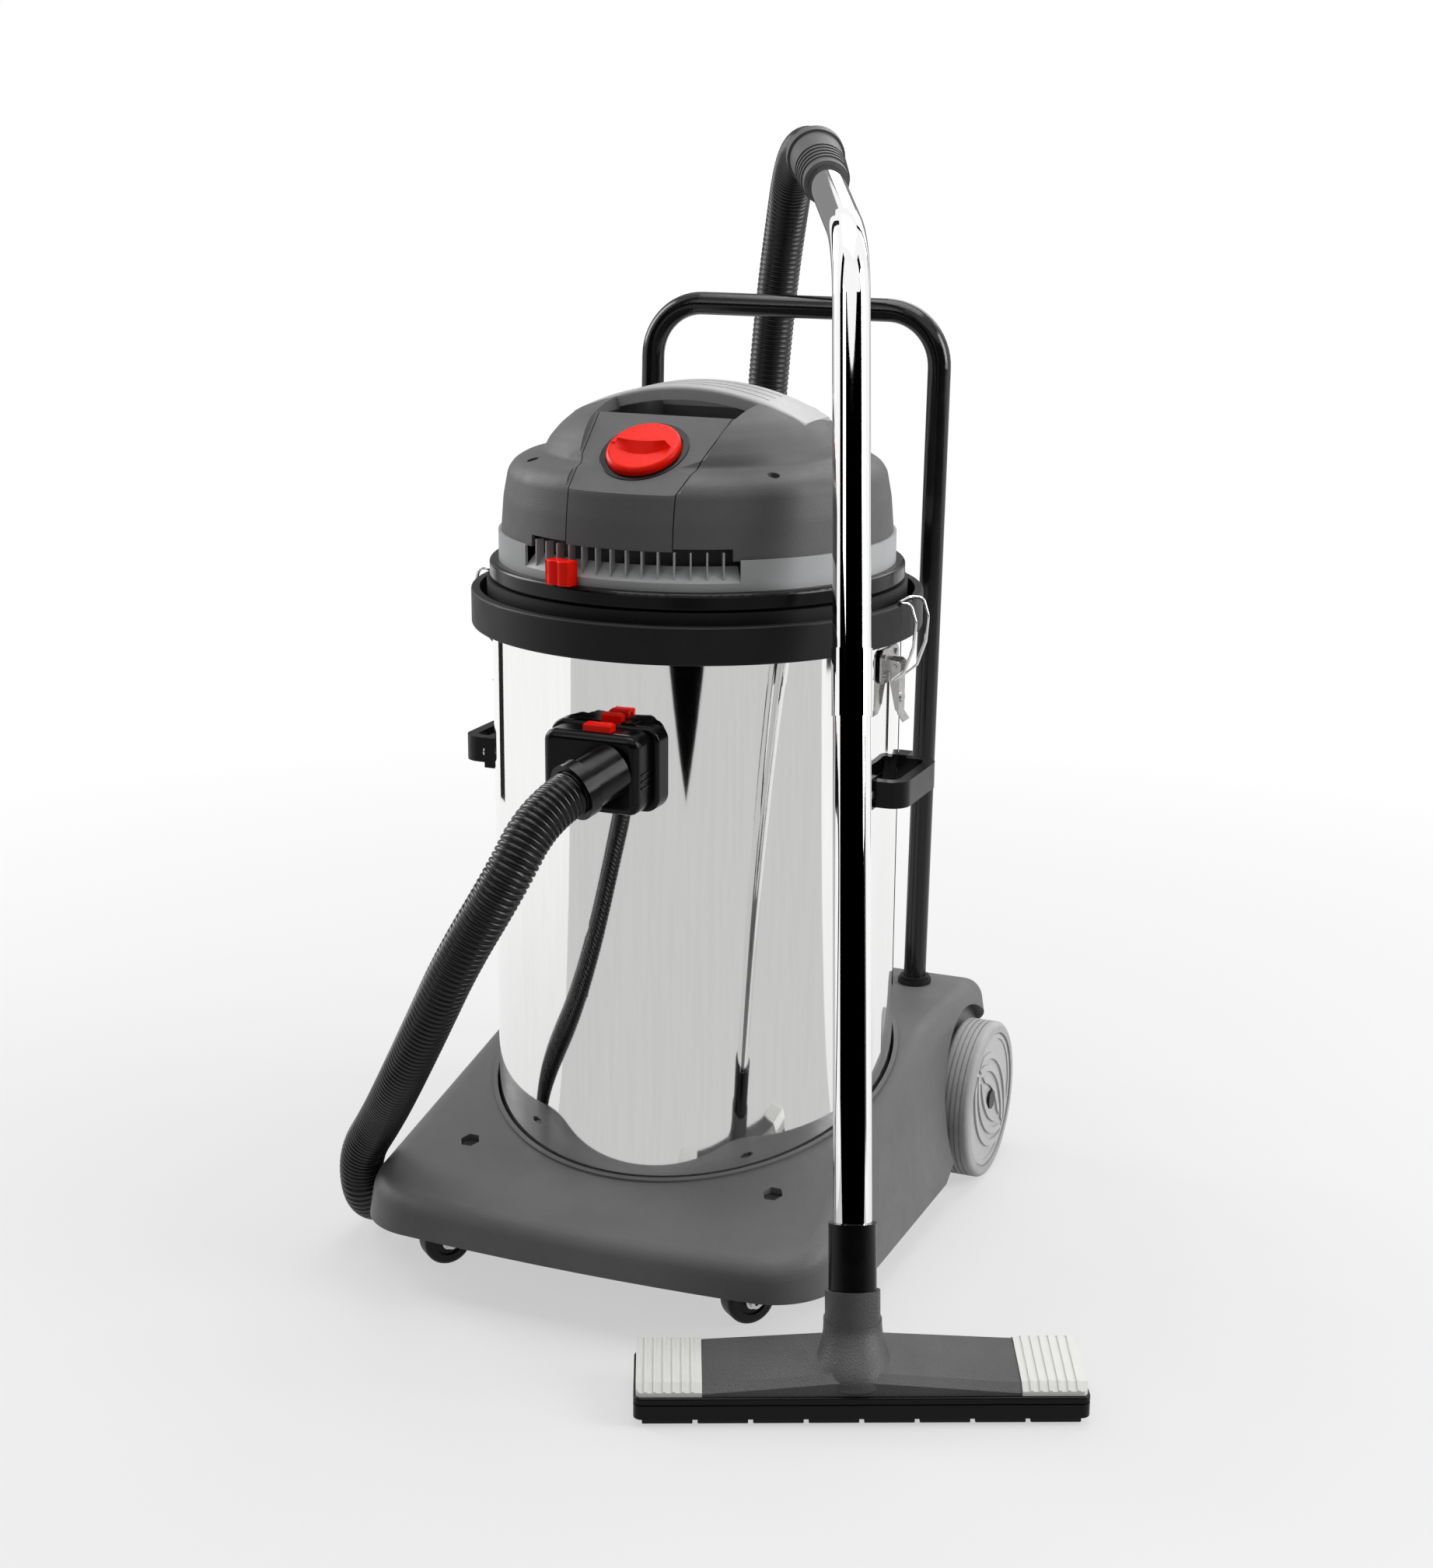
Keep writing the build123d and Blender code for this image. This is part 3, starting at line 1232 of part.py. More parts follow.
def build_bezel():
    plane = panel_plane()
    bezel = extrude(plane.offset(-knob_recess + 0.1) * Circle(knob_bezel_radius), amount=knob_recess + 0.6)
    bezel = chamfer(top_circle(bezel, plane), 0.4)
    return bezel - extrude(plane.offset(-20) * Circle(knob_radius + 1.2), amount=60)


def lens(half_length, half_width):
    """A flat shape pointed at both ends, bounded by two equal arcs."""
    upper = ThreePointArc((-half_length, 0), (0, half_width), (half_length, 0))
    lower = ThreePointArc((half_length, 0), (0, -half_width), (-half_length, 0))
    return make_face([upper, lower])


def build_knob():
    """The red rotary switch knob: a domed disc with a lens-shaped grip and a pointer dimple."""
    plane = panel_plane()
    low = -knob_recess + run_gap
    knob = extrude(plane.offset(low) * Circle(knob_radius), amount=knob_height)
    knob = fillet(top_circle(knob, plane), 4.5)
    face = plane.offset(low + knob_height - 1)
    foot = face * lens(knob_radius - 7, 16)
    ridge = face.offset(knob_bar_height) * lens(knob_radius - 13, 3)
    knob += loft([foot, ridge])
    knob -= Pos(face.origin + face.x_dir * (-knob_radius + 6) + face.z_dir * 2.2) * Sphere(3.4)
    shaft = extrude(plane.offset(-34) * Circle(knob_shaft_radius), amount=34 + low + 1)
    return knob + shaft


def build_switch_body():
    plane = panel_plane()
    top = plane.offset(-knob_recess - cover_wall - fit_gap)
    body = extrude(top * Rectangle(44, 38), amount=-30)
    return body - extrude(plane.offset(-50) * Circle(knob_shaft_radius + 0.1), amount=60)


def build_carry_handle():
    """The pale arched grip across the head, with long grooves along its top."""
    plain = grip_band(0)
    band = fillet(plain.edges().filter_by(GeomType.CIRCLE).group_by(Axis.Z)[-1], 5.0)
    above = Pos(0, 0, grip_thickness - 1.2) * plain
    width = grip_back_y - grip_front_y
    for index in (1, 2, 3):
        y = grip_front_y + width * index / 4
        band -= above & block(-85, 85, y - 1.2, y + 1.2, 0, 2000)
    return band


def build_lid_lock():
    """The small red two-lobed grip at the foot of the vent ring."""
    high_z = lock_low_z + lock_height
    lobe_y = lock_half_width - lock_lobe_radius
    grip = disc(lock_lobe_radius, lock_low_z, high_z, 0, -lobe_y)
    grip += disc(lock_lobe_radius, lock_low_z, high_z, 0, lobe_y)
    grip += block(-7.4, 6.0, -lock_half_width, lock_half_width, lock_low_z, high_z)
    grip = fillet(grip.edges().group_by(Axis.Z)[-1], 1.6)
    grip += rod_x(lock_stem_radius, -22, -6, 0, lock_low_z + lock_stem_rise)
    return Rot(0, 0, lock_angle) * Pos(lock_centre, 0, 0) * grip


# ---------------------------------------------------------------- head: inside
def motor_x(side):
    return side * motor_spacing / 2


def build_motor(side):
    """A through-flow vacuum motor: a fan shroud below and the wound body above it, bored for its shaft."""
    low_z = lid_plate_top_z + fit_gap
    high_z = low_z + shroud_height
    motor = disc(shroud_radius, low_z, high_z) - disc(shroud_radius - 2, low_z + 2, high_z - 2)
    motor -= disc(22, low_z - 1, low_z + 3)
    body_top = high_z + motor_height
    motor += disc(motor_radius, high_z - 1, body_top)
    motor = motor - disc(motor_shaft_radius + 0.1, high_z - 3, body_top - 10)
    fin = block(motor_radius - 1, motor_radius + 4, -2, 2, high_z - 0.5, body_top - 12)
    for turn in range(8):
        motor += Rot(0, 0, 45 * turn + 22.5) * fin
    return Pos(motor_x(side), 0, 0) * motor


def build_fan(side):
    """A fan rotor: two discs with curved blades between them, on the motor's shaft."""
    low_z = lid_plate_top_z + fit_gap + 2 + 5
    high_z = low_z + fan_height
    rotor = disc(fan_radius, high_z - 1.5, high_z) + ring(fan_radius, 24, low_z, low_z + 1.5)
    arc = Pos(36, 22, 0) * ring(34, 32.8, low_z + 0.5, high_z - 0.5)
    reach = block(15, fan_radius - 1, -30, 30, 0, 2000) & disc(fan_radius - 1, 0, 2000)
    blade = (arc & reach).solids().sort_by(Axis.Y)[0]
    for index in range(fan_blades):
        rotor += Rot(0, 0, index * 360 / fan_blades) * blade
    rotor += disc(9, low_z + 2, high_z)
    shaft_top = lid_plate_top_z + shroud_height + motor_height - 14
    rotor += disc(motor_shaft_radius, high_z - 1, shaft_top)
    return Pos(motor_x(side), 0, 0) * rotor


def build_motor_deck():
    """The plate that clamps both motors down on the lid base."""
    low_z = lid_plate_top_z + 2 * fit_gap + shroud_height
    half_y = shroud_radius + deck_lap
    half_x = motor_spacing / 2 + half_y
    deck = block(-half_x, half_x, -half_y, half_y, low_z, low_z + deck_plate)
    deck = fillet(deck.edges().filter_by(Axis.Z), shroud_radius - 20)
    for side in sides.values():
        deck -= disc(motor_radius + 5, 0, 2000, motor_x(side), 0)
    for end in (-1, 1):
        deck += disc(7, lid_plate_top_z + fit_gap, low_z + 1, 0, end * (half_y - 9))
    return deck


def build_foam():
    """Sound-deadening foam on the cover's inside."""
    outer = cover_shoulder_radius - cover_wall - 8
    foam = ring(outer, outer - 12, lid_plate_top_z + fit_gap, cover_shoulder_z - 8)
    for side in sides.values():
        for end in (-1, 1):
            x, y = screw_place(side, end)
            foam -= disc(screw_post_radius + 1, 0, 2000, x, y)
    return foam


def build_gland():
    """The grommet at the back of the vent ring where a mains lead would leave."""
    inner_y = vent_radius - 20
    outer_y = vent_radius + 20
    gland = rod_y(gland_radius + 2, vent_radius - 8, vent_radius + 12, 0, gland_z)
    wall = ring(vent_radius + 1.2, vent_radius - vent_wall - 1.2, gland_z - 30, gland_z + 30)
    gland -= wall - rod_y(gland_radius, inner_y, outer_y, 0, gland_z)
    return gland - rod_y(gland_bore, inner_y, outer_y, 0, gland_z)


def build_filter_frame():
    """The moulded ring and ribs that carry the filter cloth."""
    top_z = rim_bottom_z - fit_gap
    low_z = top_z - filter_depth
    frame = ring(filter_top_radius + 8, filter_top_radius - 9, top_z - 6, top_z)
    frame += ring(filter_bottom_radius, filter_bottom_radius - 8, low_z, low_z + 6)
    outline = [
        (filter_bottom_radius - 8, low_z), (filter_bottom_radius - 4, low_z),
        (filter_top_radius - 5, top_z - 3), (filter_top_radius - 9, top_z - 3),
    ]
    rib = slab_xz(outline, -3, 3)
    for index in range(6):
        frame += Rot(0, 0, 60 * index) * rib
    return frame


def build_filter_cloth():
    """The conical filter bag, stretched outside its frame."""
    top_z = rim_bottom_z - fit_gap - 6 - fit_gap
    low_z = rim_bottom_z - fit_gap - filter_depth - fit_gap
    outer = [
        (0, low_z - filter_cloth), (filter_bottom_radius + 2 + filter_cloth, low_z - filter_cloth),
        (filter_top_radius + 4, top_z), (filter_top_radius + 4 - filter_cloth, top_z),
        (filter_bottom_radius + 2, low_z), (0, low_z),
    ]
    return turned(outer)


def build_float_cage():
    """The slotted cage that guides the float, under a plenum that leads to both motor inlets."""
    top_z = rim_bottom_z - fit_gap
    low_z = top_z - cage_depth
    plenum_z = top_z - cage_plenum
    inside = cage_radius - 4
    cage = ring(cage_flange_radius, cage_flange_radius - 4, plenum_z, top_z)
    cage += ring(cage_flange_radius, inside, plenum_z, plenum_z + 3)
    cage += ring(cage_radius, inside, low_z, plenum_z + 1)
    cage += disc(cage_radius - 2, low_z, low_z + 4)
    # The seat that the float closes when it has risen
    seat_z = float_low_z + float_height + float_travel + fit_gap
    cage += ring(cage_radius - 2, float_radius - 10, seat_z, seat_z + 3)
    slot = block(cage_radius - 12, cage_radius + 5, -14, 14, low_z + 14, seat_z - 4)
    for index in range(6):
        cage -= Rot(0, 0, 60 * index) * slot
    return cage - disc(7, low_z - 2, low_z + 6)


def build_float():
    """The float that rises with the liquid and shuts the motor inlets."""
    float_body = disc(float_radius, float_low_z, float_low_z + float_height)
    float_body = fillet(float_body.edges(), 12.0)
    return float_body + disc(6.6, float_low_z - 12, float_low_z + 4)


def drum_bolt_places():
    """Where the drum is bolted to the floor of its well."""
    turns = [radians(turn) for turn in (90, 210, 330)]
    return [(drum_bolt_circle * cos(turn), drum_bolt_circle * sin(turn)) for turn in turns]


def build_drum_bolts():
    """Hex bolts up through the well's floor and the drum's floor, each with a domed nut."""
    bolts = []
    head_z = drum_bottom_z - chassis_wall - 2 * fit_gap
    nut_z = drum_bottom_z + drum_wall + fit_gap
    for x, y in drum_bolt_places():
        bolt = Pos(0, 0, head_z) * extrude(RegularPolygon(6.5, 6, major_radius=False), amount=-5)
        bolt += disc(drum_bolt_radius, head_z - 1, nut_z + 3)
        bolt += fillet(disc(6, nut_z, nut_z + 6).edges().group_by(Axis.Z)[-1], 4.0)
        bolts.append(Pos(x, y, 0) * bolt)
    return bolts


def main():
    os.makedirs("parts", exist_ok=True)
    save("chassis", build_chassis())
    save("push_handle", build_push_handle())
    save("handle_grommets", build_grommets())
    save("rear_axles", mirrored(build_axle))
    save("axle_caps", mirrored(build_axle_nut))
    save("caster_plates", mirrored(build_caster_plate))
    save("trolley_bolts", mirrored(build_caster_bolt) + build_drum_bolts())
    save("drum", build_drum())
    save("collar", build_collar())
    save("drum_seal", build_seal())
    save("side_handles", mirrored(build_side_handle))
    save("handle_rivets", build_handle_rivets())
    save("latch_plates", mirrored(build_latch_plate) + mirrored(build_latch_pin))
    save("nozzle_caps", mirrored(build_nozzle_cap))
    save("motors", mirrored(build_motor))
    for name, side in sides.items():
        save(f"tyre_{name}", build_tyre(side))
        save(f"hub_{name}", build_hub(side))
        save(f"caster_fork_{name}", [build_fork(side), build_wheel_bolt(side)])
        save(f"caster_wheel_{name}", build_caster_wheel(side))
        save(f"latch_lever_{name}", build_latch_lever(side))
        save(f"latch_bail_{name}", build_bail(side))
        save(f"fan_{name}", build_fan(side))
    save("inlet_fitting", build_fitting())
    save("inlet_deflector", build_deflector())
    save("hose_connector", build_connector())
    save("connector_button", build_button("connector"))
    save("fitting_button", build_button("fitting"))
    save("hose_cuff", build_tank_cuff())
    save("hose", build_hose())
    save("wand_lower", build_wand_lower())
    save("wand_upper", build_wand_upper())
    save("wand_cuff", build_wand_cuff())
    save("nozzle_sleeve", build_sleeve())
    save("nozzle_body", build_nozzle_body())
    save("nozzle_shoe", build_nozzle_shoe())
    save("nozzle_lips", build_nozzle_lips())
    save("lid_base", build_lid_base())
    save("vent_ring", build_vent_ring())
    shell = build_cover_shell()
    save("cover", build_cover(shell))
    save("control_panel", build_panel(shell))
    save("cover_screws", build_cover_screws())
    save("knob_bezel", build_bezel())
    save("power_knob", build_knob())
    save("switch_body", build_switch_body())
    save("carry_handle", build_carry_handle())
    save("lid_lock", build_lid_lock())
    save("motor_deck", build_motor_deck())
    save("foam_lining", build_foam())
    save("cable_gland", build_gland())
    save("filter_frame", build_filter_frame())
    save("filter_cloth", build_filter_cloth())
    save("float_cage", build_float_cage())
    save("float", build_float())


main()
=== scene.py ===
import json
import math

import bpy
import numpy as np
from mathutils import Matrix, Vector


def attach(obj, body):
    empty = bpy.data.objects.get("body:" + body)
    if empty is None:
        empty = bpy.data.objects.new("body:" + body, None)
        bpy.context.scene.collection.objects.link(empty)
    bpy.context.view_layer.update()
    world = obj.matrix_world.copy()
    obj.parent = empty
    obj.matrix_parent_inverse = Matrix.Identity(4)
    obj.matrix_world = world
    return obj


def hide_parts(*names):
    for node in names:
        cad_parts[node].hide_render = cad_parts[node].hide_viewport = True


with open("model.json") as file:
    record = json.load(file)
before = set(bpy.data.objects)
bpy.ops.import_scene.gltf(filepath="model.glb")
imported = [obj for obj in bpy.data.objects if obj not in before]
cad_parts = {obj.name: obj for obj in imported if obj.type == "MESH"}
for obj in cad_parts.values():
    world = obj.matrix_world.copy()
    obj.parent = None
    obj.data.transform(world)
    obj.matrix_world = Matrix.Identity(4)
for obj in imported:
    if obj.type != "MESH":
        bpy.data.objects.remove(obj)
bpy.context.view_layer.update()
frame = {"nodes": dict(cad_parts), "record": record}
nodes = frame["nodes"]
scene = bpy.context.scene

MM = 0.001

# ---------------------------------------------------------------- camera
# Place in metres, focal length and sensor width in millimetres
CAMERA_PLACE = (1.0730, -2.4952, 1.2208)
CAMERA_YAW = math.radians(22.808)
CAMERA_PITCH = math.radians(14.931)
CAMERA_ROLL = math.radians(0.362)
CAMERA_LENS = 58.909
CAMERA_SENSOR = 36.0
CAMERA_CLIP = (0.05, 60.0)


def make_camera():
    data = bpy.data.cameras.new("camera")
    data.lens = CAMERA_LENS
    data.sensor_width = CAMERA_SENSOR
    data.clip_start, data.clip_end = CAMERA_CLIP
    camera = bpy.data.objects.new("camera", data)
    scene.collection.objects.link(camera)
    forward = Vector((
        -math.sin(CAMERA_YAW) * math.cos(CAMERA_PITCH),
        math.cos(CAMERA_YAW) * math.cos(CAMERA_PITCH),
        -math.sin(CAMERA_PITCH),
    ))
    right = Vector((math.cos(CAMERA_YAW), math.sin(CAMERA_YAW), 0.0))
    up = right.cross(forward)
    right, up = (
        right * math.cos(CAMERA_ROLL) + up * math.sin(CAMERA_ROLL),
        up * math.cos(CAMERA_ROLL) - right * math.sin(CAMERA_ROLL),
    )
    turn = Matrix((right, up, -forward)).transposed()
    camera.matrix_world = Matrix.Translation(CAMERA_PLACE) @ turn.to_4x4()
    scene.camera = camera


make_camera()


# ---------------------------------------------------------------- helpers for meshes
def mesh_piece(name, verts, faces, smooth=True):
    mesh = bpy.data.meshes.new(name)
    mesh.from_pydata([tuple(v) for v in verts], [], faces)
    mesh.validate()
    mesh.update()
    if smooth:
        mesh.polygons.foreach_set("use_smooth", [True] * len(mesh.polygons))
    piece = bpy.data.objects.new(name, mesh)
    scene.collection.objects.link(piece)
    return piece


def spline_points(route, resolution=16):
    """Points along a smooth line, read from a NURBS spline that has the route as its control points."""
    curve = bpy.data.curves.new("route", "CURVE")
    curve.dimensions = "3D"
    spline = curve.splines.new("NURBS")
    spline.points.add(len(route) - 1)
    for point, place in zip(spline.points, route):
        point.co = (*[x * MM for x in place], 1.0)
    spline.order_u = 3
    spline.use_endpoint_u = True
    curve.resolution_u = resolution
    holder = bpy.data.objects.new("route", curve)
    scene.collection.objects.link(holder)
    bpy.context.view_layer.update()
    mesh = bpy.data.meshes.new_from_object(holder)
    points = np.array([v.co for v in mesh.vertices], float)
    bpy.data.objects.remove(holder)
    bpy.data.meshes.remove(mesh)
    return points


def even(points, step):
    """The same line with its points about a step apart, and how far along it each of them lies."""
    length = np.concatenate([[0], np.cumsum(np.linalg.norm(np.diff(points, axis=0), axis=1))])
    count = int(round(length[-1] / step)) + 1
    at = np.linspace(0, length[-1], count)
    return np.stack([np.interp(at, length, points[:, k]) for k in range(3)], axis=1), at


def carried_normals(points):
    """Two directions across the line at each point, with no twist along it."""
    tangents = np.gradient(points, axis=0)
    tangents /= np.linalg.norm(tangents, axis=1)[:, None]
    normal = np.cross(tangents[0], (0.0, 0.0, 1.0))
    if np.linalg.norm(normal) < 1e-3:
        normal = np.cross(tangents[0], (1.0, 0.0, 0.0))
    normal /= np.linalg.norm(normal)
    normals = []
    for tangent in tangents:
        normal = normal - tangent * (normal @ tangent)
        normal /= np.linalg.norm(normal)
        normals.append(normal)
    normals = np.array(normals)
    return normals, np.cross(tangents, normals)


def tube_mesh(points, radii, sides):
    """Vertices and faces of a closed tube with a radius of its own at each point."""
    across, over = carried_normals(points)
    turn = np.linspace(0, 2 * math.pi, sides, endpoint=False)
    ring = across[:, None, :] * np.cos(turn)[None, :, None] + over[:, None, :] * np.sin(turn)[None, :, None]
    verts = (points[:, None, :] + ring * np.asarray(radii)[:, None, None]).reshape(-1, 3)
    faces = []
    for i in range(len(points) - 1):
        for j in range(sides):
            k = (j + 1) % sides
            faces.append((i * sides + j, i * sides + k, (i + 1) * sides + k, (i + 1) * sides + j))
    faces.append(tuple(range(sides))[::-1])
    last = (len(points) - 1) * sides
    faces.append(tuple(range(last, last + sides)))
    return verts, faces


# ---------------------------------------------------------------- hose
# The middle line's control points in millimetres, from the plug on the drum to the cuff on the wand
HOSE_ROUTE = [
    (2.8, -305.3, 564.9), (-16, -347.5, 550.5), (-34, -391, 488), (-84, -395, 405), (-131, -377, 322),
    (-189, -337, 235), (-247, -275, 166), (-292, -247, 108), (-298, -231, 49), (-300, -184, 25),
    (-307, -120, 25), (-320, -26, 25), (-334, 84, 25), (-337, 184, 27), (-322, 278, 25),
    (-284, 355, 30), (-229, 405, 62), (-176, 424, 122), (-138, 421, 204), (-112, 411, 306),
    (-98, 404, 430), (-95, 403, 570), (-90, 399, 710), (-82, 394, 840), (-68, 380, 946),
    (-52, 362, 1030), (-37, 344, 1088), (-20, 316, 1132), (3, 276, 1160), (28, 234, 1171),
    (50.8, 195.3, 1168.9), (68.1, 163, 1158.6),
]
HOSE_RADIUS = 24.0 * MM
HOSE_RIB = 3.0 * MM
HOSE_PITCH = 6.2 * MM
HOSE_SIDES = 30
HOSE_RINGS = 8


def make_hose():
    """The hose with its rounded corrugations. HOSE_RINGS rings of vertices make up each of them."""
    line, at = even(spline_points(HOSE_ROUTE), HOSE_PITCH / HOSE_RINGS)
    phase = (at / HOSE_PITCH) % 1.0
    crest = np.sqrt(np.clip(1 - (2 * phase - 1) ** 2, 0, 1))
    radii = HOSE_RADIUS - HOSE_RIB * (1 - crest)
    verts, faces = tube_mesh(line, radii, HOSE_SIDES)
    hose = mesh_piece("suction_hose", verts, faces)
    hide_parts("hose")
    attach(hose, "trolley_and_drum")
    return hose


hose = make_hose()


# ---------------------------------------------------------------- materials
# Sockets of the Mix node that belong to colours
MIX_FACTOR = 0
MIX_FIRST = 6
MIX_SECOND = 7
MIX_RESULT = 2


def opaque(colour):
    return (*colour, 1.0)


def is_socket(value):
    return isinstance(value, bpy.types.NodeSocket)


class Tree:
    """A short way to write a node tree."""

    def __init__(self, tree):
        self.tree = tree

    def add(self, kind, **values):
        node = self.tree.nodes.new(kind)
        for key, value in values.items():
            setattr(node, key, value)
        return node

    def wire(self, source, target):
        self.tree.links.new(source, target)

    def fill(self, socket, value):
        """Set a socket to a value, or link it where the value is a socket."""
        if is_socket(value):
            self.wire(value, socket)
        else:
            socket.default_value = value

    def put(self, node, **values):
        """Fill sockets by name."""
        for key, value in values.items():
            self.fill(node.inputs[key.replace("_", " ")], value)
        return node

    def sums(self, operation, first, second):
        node = self.add("ShaderNodeMath", operation=operation)
        self.fill(node.inputs[0], first)
        self.fill(node.inputs[1], second)
        return node.outputs[0]

    def blend(self, factor, first, second, output):
        """Mix two shaders into a tree's output."""
        node = self.add("ShaderNodeMixShader")
        for index, source in enumerate((factor, first, second)):
            self.wire(source, node.inputs[index])
        self.wire(node.outputs[0], self.tree.nodes[output].inputs["Surface"])


class Nodes(Tree):
    """A material's node tree, with the Principled shader as its surface."""

    def __init__(self, name):
        self.material = bpy.data.materials.new(name)
        self.material.use_nodes = True
        super().__init__(self.material.node_tree)
        self.surface = self.tree.nodes["Principled BSDF"]
        self.place = self.add("ShaderNodeTexCoord").outputs["Object"]

    def noise(self, scale, detail=3.0, rough=0.55, stretch=None, distortion=0.0):
        place = self.place
        if stretch:
            mapping = self.add("ShaderNodeMapping")
            mapping.inputs["Scale"].default_value = stretch
            self.wire(place, mapping.inputs["Vector"])
            place = mapping.outputs["Vector"]
        node = self.add("ShaderNodeTexNoise")
        self.put(node, Vector=place, Scale=scale, Detail=detail, Roughness=rough, Distortion=distortion)
        return node.outputs["Fac"]

    def cells(self, scale):
        node = self.add("ShaderNodeTexVoronoi", feature="F1")
        self.put(node, Vector=self.place, Scale=scale)
        return node.outputs["Distance"]

    def span(self, value, low, high, out_low=0.0, out_high=1.0):
        node = self.add("ShaderNodeMapRange")
        self.wire(value, node.inputs[0])
        for index, number in enumerate((low, high, out_low, out_high)):
            node.inputs[index + 1].default_value = number
        return node.outputs[0]

    def mix(self, factor, first, second):
        node = self.add("ShaderNodeMix", data_type="RGBA")
        self.fill(node.inputs[MIX_FACTOR], factor)
        self.fill(node.inputs[MIX_FIRST], first if is_socket(first) else opaque(first))
        self.fill(node.inputs[MIX_SECOND], second if is_socket(second) else opaque(second))
        return node.outputs[MIX_RESULT]

    def inside(self, low, high):
        """One between two corners, nought elsewhere."""
        node = self.add("ShaderNodeSeparateXYZ")
        self.wire(self.place, node.inputs[0])
        value = 1.0
        for index in range(3):
            above = self.sums("GREATER_THAN", node.outputs[index], low[index])
            below = self.sums("LESS_THAN", node.outputs[index], high[index])
            value = self.sums("MULTIPLY", value, self.sums("MULTIPLY", above, below))
        return value

    def bump(self, height, distance):
        node = self.add("ShaderNodeBump")
        self.put(node, Height=height, Distance=distance, Strength=1.0)
        self.wire(node.outputs["Normal"], self.surface.inputs["Normal"])

    def finish(self, colour, rough, metallic=0.0, **more):
        self.fill(self.surface.inputs["Base Color"], colour if is_socket(colour) else opaque(colour))
        self.put(self.surface, Roughness=rough, Metallic=metallic, **more)
        return self.material

    def glow(self, colour):
        """An emission shader of strength 1."""
        node = self.put(self.add("ShaderNodeEmission"), Strength=1.0, Color=opaque(colour))
        return node.outputs[0]


# Black painted into the hollow under the carry handle as painted shade
PAINTED_SHADE_BLACK = (0.004, 0.004, 0.004)
LEAST_ROUGHNESS = 0.02
STREAK_DEPTH = 0.004


def shade(colour, factor):
    return tuple(min(1.0, x * factor) for x in colour)


def moulded(name, colour, rough, grain, grain_size, vary, shine, painted_shade_box=None):
    """Moulded plastic: fine eroded texture, slightly uneven gloss and faint cloudy marks.

    The grain is its depth in millimetres, grain_size its scale, vary the share by which the colour
    clouds, and shine the specular level. The painted shade box is a pair of corners in metres; what lies
    between them is painted black, as painted shade in the hollow it covers.
    """
    t = Nodes(name)
    fine = t.noise(1000.0 / grain_size, 4.0, 0.6)
    pits = t.cells(700.0 / grain_size)
    cloud = t.noise(9.0, 3.0)
    smear = t.noise(46.0, 4.0, 0.65, distortion=0.6)
    base = t.mix(t.span(cloud, 0.3, 0.7), shade(colour, 1 - vary), shade(colour, 1 + vary))
    base = t.mix(t.span(fine, 0.35, 0.75, 0.0, 0.25), base, shade(colour, 1.5))
    # Painted shade: inside the box the colour is black, standing in for the shadow that falls there
    if painted_shade_box:
        base = t.mix(t.inside(*painted_shade_box), base, PAINTED_SHADE_BLACK)
    gloss = t.span(smear, 0.3, 0.75, rough - 0.07, rough + 0.07)
    t.bump(t.sums("ADD", fine, pits), grain * MM)
    return t.finish(base, gloss, Specular_IOR_Level=shine)


def polished(name, colour, rough, streak, streak_scale, amount, dent=0.0):
    """Polished metal with faint drawn streaks and hardly visible waves.

    The streak stretches the marks along each axis, amount is how far they change the roughness, and
    dent is the height of the waves in millimetres.
    """
    t = Nodes(name)
    drawn = t.noise(streak_scale, 5.0, 0.7, stretch=streak)
    waves = t.noise(5.0, 2.0)
    base = t.mix(t.span(drawn, 0.3, 0.7), shade(colour, 0.95), colour)
    gloss = t.span(drawn, 0.25, 0.75, max(LEAST_ROUGHNESS, rough - amount), rough + amount)
    height = t.sums("ADD", t.sums("MULTIPLY", drawn, STREAK_DEPTH), t.sums("MULTIPLY", waves, dent))
    t.bump(height, MM)
    return t.finish(base, gloss, 1.0)


def rubber(name, colour, rough, grain, shine):
    """Rubber: dull, with a dusty bloom that lies thicker in places."""
    t = Nodes(name)
    fine = t.noise(900.0, 3.0)
    dust = t.noise(22.0, 5.0, 0.7)
    base = t.mix(t.span(dust, 0.45, 0.8, 0.0, 0.5), colour, shade(colour, 1.6))
    t.bump(fine, grain * MM)
    return t.finish(base, t.span(dust, 0.3, 0.8, rough - 0.08, rough + 0.1), Specular_IOR_Level=shine)


# The corners of the hollow under the carry handle, painted black as its shade
HANDLE_HOLLOW_PAINTED_SHADE = ((-0.0775, -0.0835, 0.860), (0.0775, 0.081, 0.909))

# Rows of name, colour, roughness, grain, grain size, clouding and shine, and for the cover the box painted
# black as shade
MOULDED = {
    "trolley_plastic": ("trolley_charcoal", (0.118, 0.118, 0.120), 0.48, 0.12, 1.0, 0.10, 0.25),
    "cover_plastic": ("cover_charcoal", (0.088, 0.088, 0.090), 0.50, 0.14, 1.0, 0.08, 0.25, HANDLE_HOLLOW_PAINTED_SHADE),
    "pale_plastic": ("pale_grey", (0.34, 0.345, 0.35), 0.46, 0.10, 0.9, 0.05, 0.35),
    "black_plastic": ("satin_black", (0.003, 0.003, 0.0034), 0.22, 0.03, 0.8, 0.15, 0.19),
    "red_plastic": ("signal_red", (0.90, 0.008, 0.0005), 0.30, 0.03, 0.8, 0.04, 0.13),
    "hub_grey": ("hub_grey", (0.42, 0.42, 0.42), 0.42, 0.08, 0.9, 0.05, 0.35),
    "cap_ivory": ("ivory_grey", (0.62, 0.62, 0.60), 0.42, 0.08, 0.9, 0.04, 0.35),
    "bar_black": ("powder_black", (0.005, 0.005, 0.005), 0.16, 0.03, 1.6, 0.10, 0.40),
}
